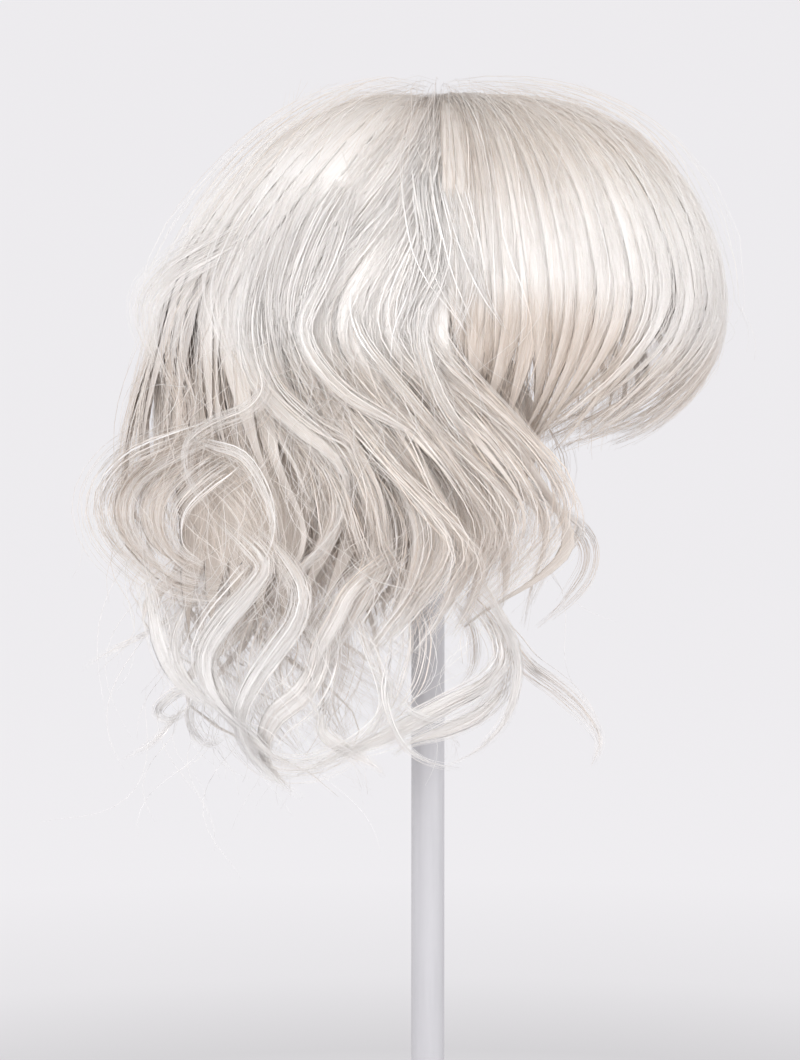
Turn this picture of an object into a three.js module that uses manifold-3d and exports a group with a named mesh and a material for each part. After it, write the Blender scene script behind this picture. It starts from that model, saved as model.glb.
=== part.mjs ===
// Hair topper with a rolled fringe and long wavy locks, on a plain post stand.
// Millimetres and degrees, +Z up. The origin is the centre of the stand's underside, and the wearer faces -Y.
import * as THREE from "three";
import { mergeVertices } from "three/addons/utils/BufferGeometryUtils.js";
import Module from "manifold-3d";

const wasm = await Module();
wasm.setup();

// Driving dimensions
const GAP = 0.4; // clearance kept between neighbouring pieces
const CROWN_HEIGHT = 500; // the dent in the hair at the crown, above the table
const CROWN_FORWARD = 5; // the crown lies this far in front of the post's axis
const POST_RADIUS = 7.5;

// Net cap of the topper, a hollow dome with an open underside
const CAP = { halfWidth: 72, halfLength: 80, height: 70, wall: 1.5, topBelowCrown: 10 };
const CAP_TOP = CROWN_HEIGHT - CAP.topBelowCrown;
const CAP_RIM = CAP_TOP - CAP.height;
const DOME_SEGMENTS = 24;
const DOME_STEPS = 5;

// Layer of knotted roots that the locks grow from, just outside the cap
const ROOTS = { thickness: 2, rimClearance: 4, dive: 8 };

// Outer form of the hair in four directions round the crown: how far it reaches, how far below the crown it
// reaches that far, how full the shoulder between the two is (2 is an ellipse, less is flatter) and how much the
// hair lifts beside the crown.
const OUTLINE = {
  front: { reach: 131, shoulder: 98, fullness: 2.3, crest: 11 },
  right: { reach: 112, shoulder: 104, fullness: 2.1, crest: 11 },
  back: { reach: 132, shoulder: 94, fullness: 1.5, crest: 20 },
  left: { reach: 112, shoulder: 104, fullness: 2.1, crest: 11 },
};

// Waves: the locks swing backwards first, this far below the crown, and the waves shorten towards the tips.
// Curls: below the waves each lock turns in a spiral.
const WAVE = { starts: 45, full: 110, firstSwing: 98, quickensAfter: 0.4, quickening: 0.3 };
const CURL = { starts: 140, full: 215, pitch: 92 };

// Section of a lock: how thick it is, at its root too, and what is left of its section at the tip
const LOCK = { thickness: 13, rootThickness: 8, tipShare: 0.4 };

// Fringe: locks spread evenly across the front that roll under towards the forehead and the temples
const FRINGE = { halfSpread: 63, locks: 8, rollTurn: 70, templeTurn: 68 };
const FRINGE_LOCK = { inset: 6, root: 20, drop: 157, roll: 62, share: 20.5, narrowing: 0, sides: 5, steps: 8 };

// Long locks of one side, from the temple to the back. Columns: around (0 front, 90 side, 180 back), drop of the
// tip below the crown, belly and tuck (how far it swells and then draws in), wave (swing to each side) and its
// pitch, lean (drift towards the front), curl (radius of its spiral) and turn (where that begins), share (part of
// the circle that it fills). Each layer has its inset from the outer form, the distance from the crown where its
// locks start, and how much they narrow as they gather.
const TOP_LAYER = { inset: 6, root: 20, narrowing: 0.34, sides: 5, steps: 15 };
const LOW_LAYER = { inset: 24, root: 52, narrowing: 0.2, sides: 4, steps: 14 };
const INNER_LAYER = { inset: 40, root: 64, narrowing: 0.2, sides: 4, steps: 11 };
const SIDE_TOP = [
  { around: 71, drop: 226, belly: -4, tuck: 10, wave: 25, pitch: 178, lean: 26, curl: 6, turn: 200, share: 18 },
  { around: 90, drop: 236, belly: 2, tuck: 12, wave: 23, pitch: 180, lean: 20, curl: 8, turn: 80, share: 19 },
  { around: 110, drop: 244, belly: 6, tuck: 14, wave: 21, pitch: 178, lean: 12, curl: 9, turn: 300, share: 19 },
];
const SIDE_LOW = [
  { around: 78, drop: 288, belly: -8, tuck: 46, wave: 16, pitch: 160, lean: 22, curl: 9, turn: 30, share: 17 },
  { around: 96, drop: 306, belly: -4, tuck: 50, wave: 15, pitch: 156, lean: 14, curl: 11, turn: 160, share: 18 },
  { around: 114, drop: 300, belly: 2, tuck: 40, wave: 14, pitch: 152, lean: 6, curl: 12, turn: 280, share: 18 },
];
const SIDE_INNER = [
  { around: 87, drop: 280, belly: -4, tuck: 26, wave: 8, pitch: 140, lean: 12, curl: 9, turn: 240, share: 19 },
  { around: 106, drop: 292, belly: -4, tuck: 30, wave: 8, pitch: 140, lean: 6, curl: 10, turn: 60, share: 19 },
];
const BACK_TOP = [
  { around: 130, drop: 250, belly: 8, tuck: 12, wave: 17, pitch: 174, lean: 6, curl: 10, turn: 140, share: 19 },
  { around: 147, drop: 246, belly: 8, tuck: 10, wave: 15, pitch: 170, lean: 0, curl: 11, turn: 20, share: 16 },
  { around: 164, drop: 250, belly: 14, tuck: 6, wave: 14, pitch: 170, lean: -2, curl: 12, turn: 250, share: 16 },
];
const BACK_LOW = [
  { around: 132, drop: 312, belly: 6, tuck: 42, wave: 12, pitch: 150, lean: 2, curl: 13, turn: 340, share: 18 },
  { around: 149, drop: 304, belly: 10, tuck: 32, wave: 12, pitch: 150, lean: 0, curl: 13, turn: 210, share: 16 },
  { around: 166, drop: 290, belly: 14, tuck: 18, wave: 12, pitch: 146, lean: -2, curl: 13, turn: 90, share: 16 },
];
const BACK_INNER = [
  { around: 143, drop: 298, belly: 2, tuck: 30, wave: 8, pitch: 140, lean: 2, curl: 10, turn: 120, share: 22 },
];
const BACK_MIDDLE = [
  { around: 180, drop: 256, belly: 14, tuck: 6, wave: 12, pitch: 170, lean: 0, curl: 13, turn: 170, share: 15 },
];
const BACK_MIDDLE_LOW = [
  { around: 182, drop: 284, belly: 14, tuck: 16, wave: 10, pitch: 146, lean: 0, curl: 12, turn: 310, share: 16 },
];

// A thin wisp that stands out from the mass
const RIGHT_WISPS = [
  { around: 66, drop: 294, belly: -6, tuck: -12, wave: 14, pitch: 128, lean: 30, curl: 3, turn: 0, share: 8 },
];

// The far side's locks hang a little further back than the near side's
const LEFT_SET_BACK = 46;

// Snap clips sewn inside the rim
const CLIP = { length: 30, bar: 4.5, teeth: 5, toothLength: 9, toothWidth: 2.4, thickness: 1.2, aboveRim: 2 };

// Stand
const STAND_TOP = {
  radius: 42,
  curve: 62,
  lip: 3.5,
  drop: 22,
  bossRadius: 13,
  bossDrop: 44,
  socketDrop: 20,
  height: CAP_TOP - CAP.wall - 1,
};
const STAND_BASE = { radius: 80, edge: 8, rise: 12, bossRadius: 18, bossHeight: 24, floor: 4 };
const ROUND_SEGMENTS = 24;

const hairFinish = { color: 0xe4ddd6, roughness: 0.5, metalness: 0 };
const capFinish = { color: 0xe9e0d6, roughness: 0.9, metalness: 0 };
const clipFinish = { color: 0xd8d2ca, roughness: 0.35, metalness: 0.3 };
const standFinish = { color: 0xdcdde1, roughness: 0.35, metalness: 0 };

// Solids for joining and cutting

function solidOf(geometry) {
  const bare = geometry.clone();
  bare.deleteAttribute("normal");
  bare.deleteAttribute("uv");
  const merged = mergeVertices(bare, 1e-4);
  return new wasm.Manifold(
    new wasm.Mesh({
      numProp: 3,
      vertProperties: merged.attributes.position.array,
      triVerts: new Uint32Array(merged.index.array),
    }),
  );
}

function geometryOf(solid) {
  const mesh = solid.getMesh();
  const geometry = new THREE.BufferGeometry();
  geometry.setAttribute("position", new THREE.BufferAttribute(mesh.vertProperties, 3));
  geometry.setIndex(new THREE.BufferAttribute(mesh.triVerts, 1));
  return geometry;
}

function joined(solids) {
  return solids.reduce((whole, piece) => whole.add(piece));
}

// The largest body of a solid, without the crumbs that cutting leaves
function mainBody(solid) {
  const bodies = solid.decompose();
  return bodies.reduce((best, body) => (body.volume() > best.volume() ? body : best));
}

function named(name, geometry, finish) {
  const mesh = new THREE.Mesh(geometry, new THREE.MeshStandardMaterial(finish));
  mesh.name = name;
  return mesh;
}

// A profile of [radius, height] pairs turned about the Z axis
function turned(profile, segments) {
  const points = profile.map(([radius, height]) => new THREE.Vector2(radius, height));
  return new THREE.LatheGeometry(points, segments).rotateX(Math.PI / 2);
}

// Cap and the layer of roots

// A dome over the cap's own form, grown by some amount, as a profile from the axis to the rim
function domeProfile(grow) {
  const profile = [];
  for (let step = 0; step <= DOME_STEPS; step++) {
    const angle = (Math.PI / 2) * (step / DOME_STEPS);
    profile.push([
      (CAP.halfLength + grow) * Math.sin(angle),
      CAP_RIM + (CAP.height + grow) * Math.cos(angle),
    ]);
  }
  return profile;
}

// A dome is longer from front to back than from side to side
function squeezed(geometry, grow) {
  return geometry.scale((CAP.halfWidth + grow) / (CAP.halfLength + grow), 1, 1);
}

function netCap() {
  const profile = [...domeProfile(-CAP.wall), ...domeProfile(0).reverse()];
  return squeezed(turned(profile, DOME_SEGMENTS), 0);
}

function solidDome(grow) {
  const profile = [[0, CAP_RIM], ...domeProfile(grow).reverse()];
  return solidOf(squeezed(turned(profile, DOME_SEGMENTS), grow));
}

// A wedge of space between two directions round the crown, drawn in from both by some clearance
function sector(fromAngle, toAngle, clearance, bottom) {
  const far = 400;
  const middle = direction((fromAngle + toAngle) / 2);
  const halfTurn = THREE.MathUtils.degToRad((toAngle - fromAngle) / 2);
  const apex = middle.clone().multiplyScalar(clearance / Math.sin(halfTurn));
  apex.y -= CROWN_FORWARD;
  const shape = new THREE.Shape();
  shape.moveTo(apex.x, apex.y);
  const corners = 8;
  for (let corner = 0; corner <= corners; corner++) {
    const reach = direction(fromAngle + ((toAngle - fromAngle) * corner) / corners).multiplyScalar(far);
    shape.lineTo(apex.x + reach.x, apex.y + reach.y);
  }
  const depth = CROWN_HEIGHT - bottom;
  return solidOf(new THREE.ExtrudeGeometry(shape, { depth, bevelEnabled: false }).translate(0, 0, bottom));
}

// Locks

// Horizontal direction from the crown: 0 is the wearer's front, 90 the right and 180 the back
function direction(around) {
  const angle = THREE.MathUtils.degToRad(around);
  return new THREE.Vector3(-Math.sin(angle), -Math.cos(angle), 0);
}

// The outer form of the hair in any direction
function outlineAt(around) {
  const angle = THREE.MathUtils.degToRad(around);
  const lengthways = Math.cos(angle) > 0 ? OUTLINE.front : OUTLINE.back;
  const sideways = Math.sin(angle) > 0 ? OUTLINE.right : OUTLINE.left;
  const share = Math.cos(angle) ** 2;
  const mixed = {};
  for (const size of ["reach", "shoulder", "fullness", "crest"]) {
    mixed[size] = lengthways[size] * share + sideways[size] * (1 - share);
  }
  return mixed;
}

// Side profile of a lock: points of radius, depth below the crown and how far it has fallen past the shoulder
function lockProfile(lock) {
  const { reach, shoulder, fullness, crest } = outlineAt(lock.around);
  const widest = reach - lock.inset;
  const power = 2 / fullness;
  const samples = 60;
  const points = [{ radius: lock.root - ROOTS.dive, depth: lock.inset + ROOTS.dive, fallen: 0 }];
  for (let i = 0; i <= samples; i++) {
    const angle = (Math.PI / 2) * (i / samples);
    const radius = widest * Math.sin(angle) ** power;
    const lift = crest * Math.sin(2 * angle) * Math.cos(angle);
    const depth = lock.inset + shoulder * (1 - Math.cos(angle) ** power) - lift;
    if (radius >= lock.root) points.push({ radius, depth, fallen: 0 });
  }
  for (let i = 1; i <= samples; i++) {
    const fallen = i / samples;
    points.push(lock.roll ? rolled(lock, widest, shoulder, fallen) : hanging(lock, widest, shoulder, fallen));
  }
  return points;
}

function rolled(lock, widest, shoulder, fallen) {
  const turn = THREE.MathUtils.degToRad(lock.rollTurn) * fallen;
  return {
    radius: widest - lock.roll * (1 - Math.cos(turn)),
    depth: shoulder + lock.inset + (lock.drop - shoulder - lock.inset) * Math.sin(turn),
    fallen,
  };
}

function hanging(lock, widest, shoulder, fallen) {
  const top = shoulder + lock.inset;
  const swell = lock.belly * Math.sin(Math.PI * fallen) - lock.tuck * fallen ** 2.2;
  return { radius: widest + swell, depth: top + (lock.drop - top) * fallen, fallen };
}

// The profile again at even steps along its length, with the outward direction across it
function evenSteps(points, steps) {
  const along = [0];
  for (let i = 1; i < points.length; i++) {
    const stretch = Math.hypot(points[i].radius - points[i - 1].radius, points[i].depth - points[i - 1].depth);
    along.push(along[i - 1] + stretch);
  }
  const total = along[along.length - 1];
  const stations = [];
  let at = 0;
  for (let step = 0; step <= steps; step++) {
    const wanted = (total * step) / steps;
    while (at < points.length - 2 && along[at + 1] < wanted) at++;
    const [from, to] = [points[at], points[at + 1]];
    const stretch = along[at + 1] - along[at];
    const share = Math.min(1, (wanted - along[at]) / stretch);
    stations.push({
      radius: THREE.MathUtils.lerp(from.radius, to.radius, share),
      depth: THREE.MathUtils.lerp(from.depth, to.depth, share),
      fallen: THREE.MathUtils.lerp(from.fallen, to.fallen, share),
      outward: (to.depth - from.depth) / stretch,
      upward: (to.radius - from.radius) / stretch,
    });
  }
  return stations;
}

// How far a lock lies aside and out from its profile, at some depth below the crown
function swing(lock, { depth }) {
  if (lock.roll) return { aside: 0, out: 0 };
  const swung = lock.wave * THREE.MathUtils.smoothstep(depth, WAVE.starts, WAVE.full);
  const waves = (depth - WAVE.firstSwing) / lock.pitch;
  const quick = WAVE.quickening * Math.max(0, waves - WAVE.quickensAfter) ** 2;
  const drift = lock.lean * THREE.MathUtils.smoothstep(depth, 60, 260);
  const curled = lock.curl * THREE.MathUtils.smoothstep(depth, CURL.starts, CURL.full);
  const spiral = THREE.MathUtils.degToRad(lock.turn) + (2 * Math.PI * (depth - CURL.starts)) / CURL.pitch;
  return {
    aside: swung * Math.cos(2 * Math.PI * (waves + quick)) + curled * Math.sin(spiral) - drift,
    out: curled * Math.cos(spiral),
  };
}

// Centre line of a lock, with its outward direction and its size at each station
function lockStations(lock, grow) {
  const outward = direction(lock.around);
  const backward = direction(lock.around + 90).multiplyScalar(lock.around % 360 > 180 ? -1 : 1);
  return evenSteps(lockProfile(lock), lock.steps).map((station) => {
    const { aside, out } = swing(lock, station);
    const centre = new THREE.Vector3(0, -CROWN_FORWARD, CROWN_HEIGHT - station.depth);
    centre.addScaledVector(outward, station.radius + out).addScaledVector(backward, aside);
    const normal = outward.clone().multiplyScalar(station.outward);
    normal.z = station.upward;
    const room = station.radius * THREE.MathUtils.degToRad(lock.share);
    const fullThickness = Math.min(LOCK.thickness, LOCK.rootThickness + station.depth / 20, room * 1.6);
    const narrowed = 1 - lock.narrowing * THREE.MathUtils.smoothstep(station.fallen, 0, 0.6);
    const taper = 1 - (1 - LOCK.tipShare) * station.fallen ** 5;
    return {
      centre,
      normal,
      halfWidth: Math.max(1.2, (room / 2) * narrowed * taper) + grow,
      halfThickness: Math.max(1.2, (fullThickness / 2) * taper) + grow,
    };
  });
}

// A lock as a closed, tapering tube: a cylinder whose rings are laid along the lock's centre line
function lockSolid(lock, grow = 0) {
  const stations = lockStations(lock, grow);
  const tube = new THREE.CylinderGeometry(1, 1, 1, lock.sides, lock.steps);
  const position = tube.attributes.position;
  const point = new THREE.Vector3();
  for (let i = 0; i < position.count; i++) {
    point.fromBufferAttribute(position, i);
    const step = Math.round((0.5 - point.y) * lock.steps);
    const here = stations[step];
    const before = stations[Math.max(0, step - 1)].centre;
    const after = stations[Math.min(lock.steps, step + 1)].centre;
    const along = after.clone().sub(before).normalize();
    const normal = here.normal.clone().addScaledVector(along, -here.normal.dot(along)).normalize();
    const across = normal.clone().cross(along);
    const place = here.centre.clone();
    place.addScaledVector(across, point.x * here.halfWidth);
    place.addScaledVector(normal, point.z * here.halfThickness);
    position.setXYZ(i, place.x, place.y, place.z);
  }
  return solidOf(tube);
}

function layered(locks, layer) {
  return locks.map((lock) => ({ ...layer, ...lock }));
}

function mirrored(locks, setBack = 0) {
  return locks.map((lock) => ({ ...lock, around: 360 - lock.around, lean: lock.lean - setBack }));
}

function fringeLocks() {
  const locks = [];
  for (let i = 0; i < FRINGE.locks; i++) {
    const across = -1 + (2 * i) / (FRINGE.locks - 1);
    const rollTurn = THREE.MathUtils.lerp(FRINGE.rollTurn, FRINGE.templeTurn, across ** 2);
    locks.push({ ...FRINGE_LOCK, around: FRINGE.halfSpread * across, rollTurn });
  }
  return locks;
}

// A panel's share of the layer of roots, grown by some amount
function rootPatch({ fromAngle, toAngle }, grow) {
  const layer = solidDome(GAP + ROOTS.thickness + grow).subtract(solidDome(GAP - grow));
  const bottom = CAP_RIM + ROOTS.rimClearance - grow;
  return layer.intersect(sector(fromAngle, toAngle, GAP / 2 - grow, bottom));
}

// A panel of hair: its share of the roots with its locks fused to it, clear of the cap
function hairPanel(panel) {
  const capSpace = solidDome(GAP + ROOTS.thickness / 2);
  const locks = joined(panel.locks.map((lock) => lockSolid(lock)));
  return rootPatch(panel, 0).add(locks.subtract(capSpace));
}

// The space that a panel needs, a gap larger all round
function keptClear(panel) {
  return joined([rootPatch(panel, GAP), ...panel.locks.map((lock) => lockSolid(lock, GAP))]);
}

// Stand and clips

function standTop() {
  const profile = [
    [0, -STAND_TOP.socketDrop],
    [POST_RADIUS + GAP, -STAND_TOP.socketDrop],
    [POST_RADIUS + GAP, -STAND_TOP.bossDrop],
    [STAND_TOP.bossRadius, -STAND_TOP.bossDrop],
    [STAND_TOP.bossRadius, -STAND_TOP.drop - 1],
    [STAND_TOP.radius - STAND_TOP.lip, -STAND_TOP.drop],
    [STAND_TOP.radius, -STAND_TOP.drop + STAND_TOP.lip],
  ];
  const rimTurn = Math.asin(STAND_TOP.radius / STAND_TOP.curve);
  for (let step = DOME_STEPS; step >= 0; step--) {
    const turn = (rimTurn * step) / DOME_STEPS;
    profile.push([STAND_TOP.curve * Math.sin(turn), STAND_TOP.curve * (Math.cos(turn) - 1)]);
  }
  return turned(profile, ROUND_SEGMENTS).translate(0, 0, STAND_TOP.height);
}

function standBase() {
  const { radius, edge, rise, bossRadius, bossHeight, floor } = STAND_BASE;
  const chamfer = 1;
  const profile = [
    [0, 0],
    [radius - chamfer, 0],
    [radius, chamfer],
    [radius, edge - 3 * chamfer],
    [radius - 3 * chamfer, edge],
    [bossRadius + 4, rise],
    [bossRadius, rise + 4],
    [bossRadius - chamfer, bossHeight],
    [POST_RADIUS + GAP, bossHeight],
    [POST_RADIUS + GAP, floor],
    [0, floor],
  ];
  return turned(profile, ROUND_SEGMENTS);
}

function standPost() {
  const bottom = STAND_BASE.floor + GAP;
  const top = STAND_TOP.height - STAND_TOP.socketDrop - GAP;
  const post = new THREE.CylinderGeometry(POST_RADIUS, POST_RADIUS, top - bottom, ROUND_SEGMENTS);
  return post.rotateX(Math.PI / 2).translate(0, 0, (top + bottom) / 2);
}

// A comb-like plate: a bar with teeth that point up
function clipPlate() {
  const { length, bar, teeth, toothLength, toothWidth, thickness } = CLIP;
  const shape = new THREE.Shape();
  shape.moveTo(-length / 2, 0);
  shape.lineTo(length / 2, 0);
  shape.lineTo(length / 2, bar);
  const pitch = (length - toothWidth) / (teeth - 1);
  for (let tooth = teeth - 1; tooth >= 0; tooth--) {
    const middle = -length / 2 + toothWidth / 2 + pitch * tooth;
    shape.lineTo(middle + toothWidth / 2, bar);
    shape.lineTo(middle + toothWidth / 4, bar + toothLength);
    shape.lineTo(middle - toothWidth / 4, bar + toothLength);
    shape.lineTo(middle - toothWidth / 2, bar);
  }
  return new THREE.ExtrudeGeometry(shape, { depth: thickness, bevelEnabled: false }).rotateX(Math.PI / 2);
}

// Clips stand just inside the cap's wall, their bar's ends and their teeth's tips a gap away from it
function clip(name, around) {
  const mesh = named(name, clipPlate(), clipFinish);
  const outward = direction(around);
  const lengthways = Math.abs(outward.y) > 0.5;
  const wallRadius = (lengthways ? CAP.halfLength : CAP.halfWidth) - CAP.wall;
  const alongWall = lengthways ? CAP.halfWidth - CAP.wall : CAP.halfLength - CAP.wall;
  const reach = CLIP.bar + CLIP.toothLength + CLIP.aboveRim;
  const squash = 1 - (reach / (CAP.height - CAP.wall)) ** 2 - (CLIP.length / 2 / alongWall) ** 2;
  const facetDepth = 1.2;
  const room = wallRadius * (1 - Math.sqrt(squash)) + CLIP.thickness + facetDepth + GAP;
  mesh.position.copy(outward).multiplyScalar(wallRadius - room);
  mesh.position.z = CAP_RIM + CLIP.aboveRim;
  mesh.rotation.z = THREE.MathUtils.degToRad(-around);
  return mesh;
}

// Assembly

const temple = FRINGE.halfSpread + 4;
const backEdge = 123;
const sideLocks = [
  ...layered(SIDE_TOP, TOP_LAYER),
  ...layered(SIDE_LOW, LOW_LAYER),
  ...layered(SIDE_INNER, INNER_LAYER),
];
const backHalf = [
  ...layered(BACK_TOP, TOP_LAYER),
  ...layered(BACK_LOW, LOW_LAYER),
  ...layered(BACK_INNER, INNER_LAYER),
];
const backLocks = [
  ...backHalf,
  ...mirrored(backHalf),
  ...layered(BACK_MIDDLE, TOP_LAYER),
  ...layered(BACK_MIDDLE_LOW, LOW_LAYER),
];
const rightLocks = [...sideLocks, ...layered(RIGHT_WISPS, INNER_LAYER)];

const front = { locks: fringeLocks(), fromAngle: -temple, toAngle: temple };
const right = { locks: rightLocks, fromAngle: temple, toAngle: backEdge };
const left = {
  locks: mirrored(sideLocks, LEFT_SET_BACK),
  fromAngle: 360 - backEdge,
  toAngle: 360 - temple,
};
const back = { locks: backLocks, fromAngle: backEdge, toAngle: 360 - backEdge };

const frontSpace = keptClear(front);
const sideSpace = keptClear(right).add(keptClear(left));
const fringePanel = hairPanel(front);
const rightPanel = hairPanel(right).subtract(frontSpace);
const leftPanel = hairPanel(left).subtract(frontSpace).subtract(keptClear(right));
const backPanel = hairPanel(back).subtract(frontSpace).subtract(sideSpace);

const topper = new THREE.Group();
topper.add(named("cap", netCap(), capFinish));
topper.add(named("fringe", geometryOf(mainBody(fringePanel)), hairFinish));
topper.add(named("right_hair", geometryOf(mainBody(rightPanel)), hairFinish));
topper.add(named("left_hair", geometryOf(mainBody(leftPanel)), hairFinish));
topper.add(named("back_hair", geometryOf(mainBody(backPanel)), hairFinish));
topper.add(clip("clip_front", 0), clip("clip_right", 90), clip("clip_back", 180), clip("clip_left", 270));

const stand = new THREE.Group();
stand.add(named("stand_top", standTop(), standFinish));
stand.add(named("stand_post", standPost(), standFinish));
stand.add(named("stand_base", standBase(), standFinish));

const model = new THREE.Group();
model.add(topper, stand);

export default model;
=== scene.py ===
import math

import bmesh
import bpy
import numpy as np
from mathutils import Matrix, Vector


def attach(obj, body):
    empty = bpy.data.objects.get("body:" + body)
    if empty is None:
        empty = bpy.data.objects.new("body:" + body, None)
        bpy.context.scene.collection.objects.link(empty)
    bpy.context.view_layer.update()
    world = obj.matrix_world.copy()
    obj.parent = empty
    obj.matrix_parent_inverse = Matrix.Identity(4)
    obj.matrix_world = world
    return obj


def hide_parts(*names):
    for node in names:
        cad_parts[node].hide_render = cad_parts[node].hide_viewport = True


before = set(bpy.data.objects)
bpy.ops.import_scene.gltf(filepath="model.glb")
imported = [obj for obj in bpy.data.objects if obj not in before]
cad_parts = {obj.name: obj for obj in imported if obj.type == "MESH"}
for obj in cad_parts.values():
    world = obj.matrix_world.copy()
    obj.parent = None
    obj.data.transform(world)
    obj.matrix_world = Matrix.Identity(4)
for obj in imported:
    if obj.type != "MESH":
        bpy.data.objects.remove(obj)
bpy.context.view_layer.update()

scene = bpy.context.scene
mm = 0.001  # hair is worked out in millimetres and made in metres


# camera: level with the hair, on the wearer's right and a little to the front
shot = {
    "azimuth": -80,
    "elevation": 4,
    "distance": 1.8,
    "lens": 135.8,
    "sensor": 36,
    "aside": -0.0126,  # the aim lies this far to the picture's right of the post
    "height": 0.3024,
}
picture = (800, 1060)  # pixels


def towards(azimuth, elevation):
    turn = math.radians(azimuth)
    lift = math.radians(elevation)
    return Vector((math.sin(turn) * math.cos(lift), -math.cos(turn) * math.cos(lift), math.sin(lift)))


def setCamera(shot):
    turn = math.radians(shot["azimuth"])
    aim = Vector((math.cos(turn), math.sin(turn), 0)) * shot["aside"] + Vector((0, 0, shot["height"]))
    back = towards(shot["azimuth"], shot["elevation"])
    data = bpy.data.cameras.new("photoCamera")
    data.lens = shot["lens"]
    data.sensor_width = shot["sensor"]
    data.clip_end = 50
    eye = bpy.data.objects.new("photoCamera", data)
    eye.location = aim + back * shot["distance"]
    eye.rotation_euler = back.to_track_quat("Z", "Y").to_euler()
    scene.collection.objects.link(eye)
    scene.camera = eye


setCamera(shot)
scene.view_settings.view_transform = "Standard"
print("camera set")


# node helpers

def newMaterial(name):
    material = bpy.data.materials.new(name)
    material.use_nodes = True
    nodes = material.node_tree.nodes
    return material, nodes, material.node_tree.links, nodes["Principled BSDF"]


def setInputs(node, inputs):
    for socket, value in inputs.items():
        node.inputs[socket].default_value = value


def addNode(nodes, kind, inputs=None, **values):
    node = nodes.new(kind)
    for key, value in values.items():
        setattr(node, key, value)
    setInputs(node, inputs or {})
    return node


def wire(links, *pairs):
    for source, output, target, socket in pairs:
        links.new(source.outputs[output], target.inputs[socket])


def addRamp(nodes, stops):
    node = nodes.new("ShaderNodeValToRGB")
    elements = node.color_ramp.elements
    while len(elements) < len(stops):
        elements.new(0.5)
    for element, (place, colour) in zip(elements, stops):
        element.position = place
        element.color = (*colour, 1)
    return node


def linkObject(name, mesh, material):
    made = bpy.data.objects.new(name, mesh)
    mesh.materials.append(material)
    scene.collection.objects.link(made)
    return made


def fromBmesh(name, bm, material, smooth=True):
    mesh = bpy.data.meshes.new(name)
    bm.to_mesh(mesh)
    bm.free()
    for face in mesh.polygons:
        face.use_smooth = smooth
    return linkObject(name, mesh, material)


def spin(bm, profile, steps, closed=False, nearest=1e-6):
    # turns a profile of (radius, height) in millimetres round the post's axis
    line = [bm.verts.new((x * mm, 0, z * mm)) for x, z in profile]
    pairs = list(zip(line, line[1:])) + ([(line[-1], line[0])] if closed else [])
    edges = [bm.edges.new(pair) for pair in pairs]
    bmesh.ops.spin(
        bm, geom=line + edges, cent=(0, 0, 0), axis=(0, 0, 1), angle=math.tau, steps=steps, use_merge=True,
    )
    bmesh.ops.remove_doubles(bm, verts=bm.verts, dist=nearest)
    bmesh.ops.recalc_face_normals(bm, faces=bm.faces)


# stage: a pale sweep that turns up into a wall all round and glows, lighting the hair like a light tent, and
# soft light
stageLook = {
    "flat": 1.4,
    "sweep": 3.0,
    "wallTop": 5.0,
    "colour": (0.12, 0.118, 0.121),
    # by the distance from the post's foot: a painted shadow dims the glow round the foot, and it is dimmer
    # high up the wall
    "glow": [
        (0.0, 0.78), (0.028, 0.74), (0.045, 0.56), (0.051, 0.585), (0.077, 0.7), (0.129, 0.77),
        (0.643, 0.775), (0.8, 0.3), (1.0, 0.25),
    ],
    "glowReach": 7.0,
    "tint": (1.0, 0.985, 1.01),
    "world": (0.9, 0.89, 0.91),
    "worldStrength": 0.25,
    "turns": 72,
    "bends": 12,
}


def makeStage(look):
    material, nodes, links, shader = newMaterial("paleSweep")
    # painted light: the sweep glows and lights the hair, and its glow ramp paints a shadow round the post's
    # foot
    setInputs(shader, {
        "Base Color": (*look["colour"], 1), "Roughness": 0.9, "Specular IOR Level": 0.1,
        "Emission Strength": 1,
    })
    material.cycles.emission_sampling = "NONE"
    place = addNode(nodes, "ShaderNodeTexCoord")
    away = addNode(nodes, "ShaderNodeVectorMath", operation="LENGTH")
    reach = addNode(nodes, "ShaderNodeMath", {1: look["glowReach"]}, operation="DIVIDE")
    stops = [(share, tuple(glow * tint for tint in look["tint"])) for share, glow in look["glow"]]
    ramp = addRamp(nodes, stops)
    wire(
        links,
        (place, "Object", away, 0), (away, "Value", reach, 0), (reach, "Value", ramp, "Fac"),
        (ramp, "Color", shader, "Emission Color"),
    )
    bm = bmesh.new()
    profile = [(0, 0), (look["flat"], 0)]
    for step in range(1, look["bends"] + 1):
        turn = math.radians(90 * step / look["bends"])
        profile.append((look["flat"] + look["sweep"] * math.sin(turn), look["sweep"] * (1 - math.cos(turn))))
    profile.append((profile[-1][0], look["wallTop"]))
    spin(bm, [(x / mm, z / mm) for x, z in profile], look["turns"], nearest=1e-4)
    sweep = fromBmesh("paleSweep", bm, material)
    world = bpy.data.worlds.new("softSky")
    world.use_nodes = True
    background = world.node_tree.nodes["Background"]
    setInputs(background, {"Color": (*look["world"], 1), "Strength": look["worldStrength"]})
    scene.world = world


lightsAim = 0.34  # metres above the table
lights = [
    {"name": "keySoftbox", "azimuth": -104, "elevation": 24, "distance": 2.0, "size": 1.9, "power": 21.4},
    {"name": "fringeSoftbox", "azimuth": -20, "elevation": 5, "distance": 2.2, "size": 1.3, "power": 15},
    {"name": "frontSoftbox", "azimuth": -84, "elevation": 6, "distance": 2.3, "size": 1.8, "power": 11},
    {"name": "topSoftbox", "azimuth": 100, "elevation": 66, "distance": 2.2, "size": 1.4, "power": 6},
]


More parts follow.
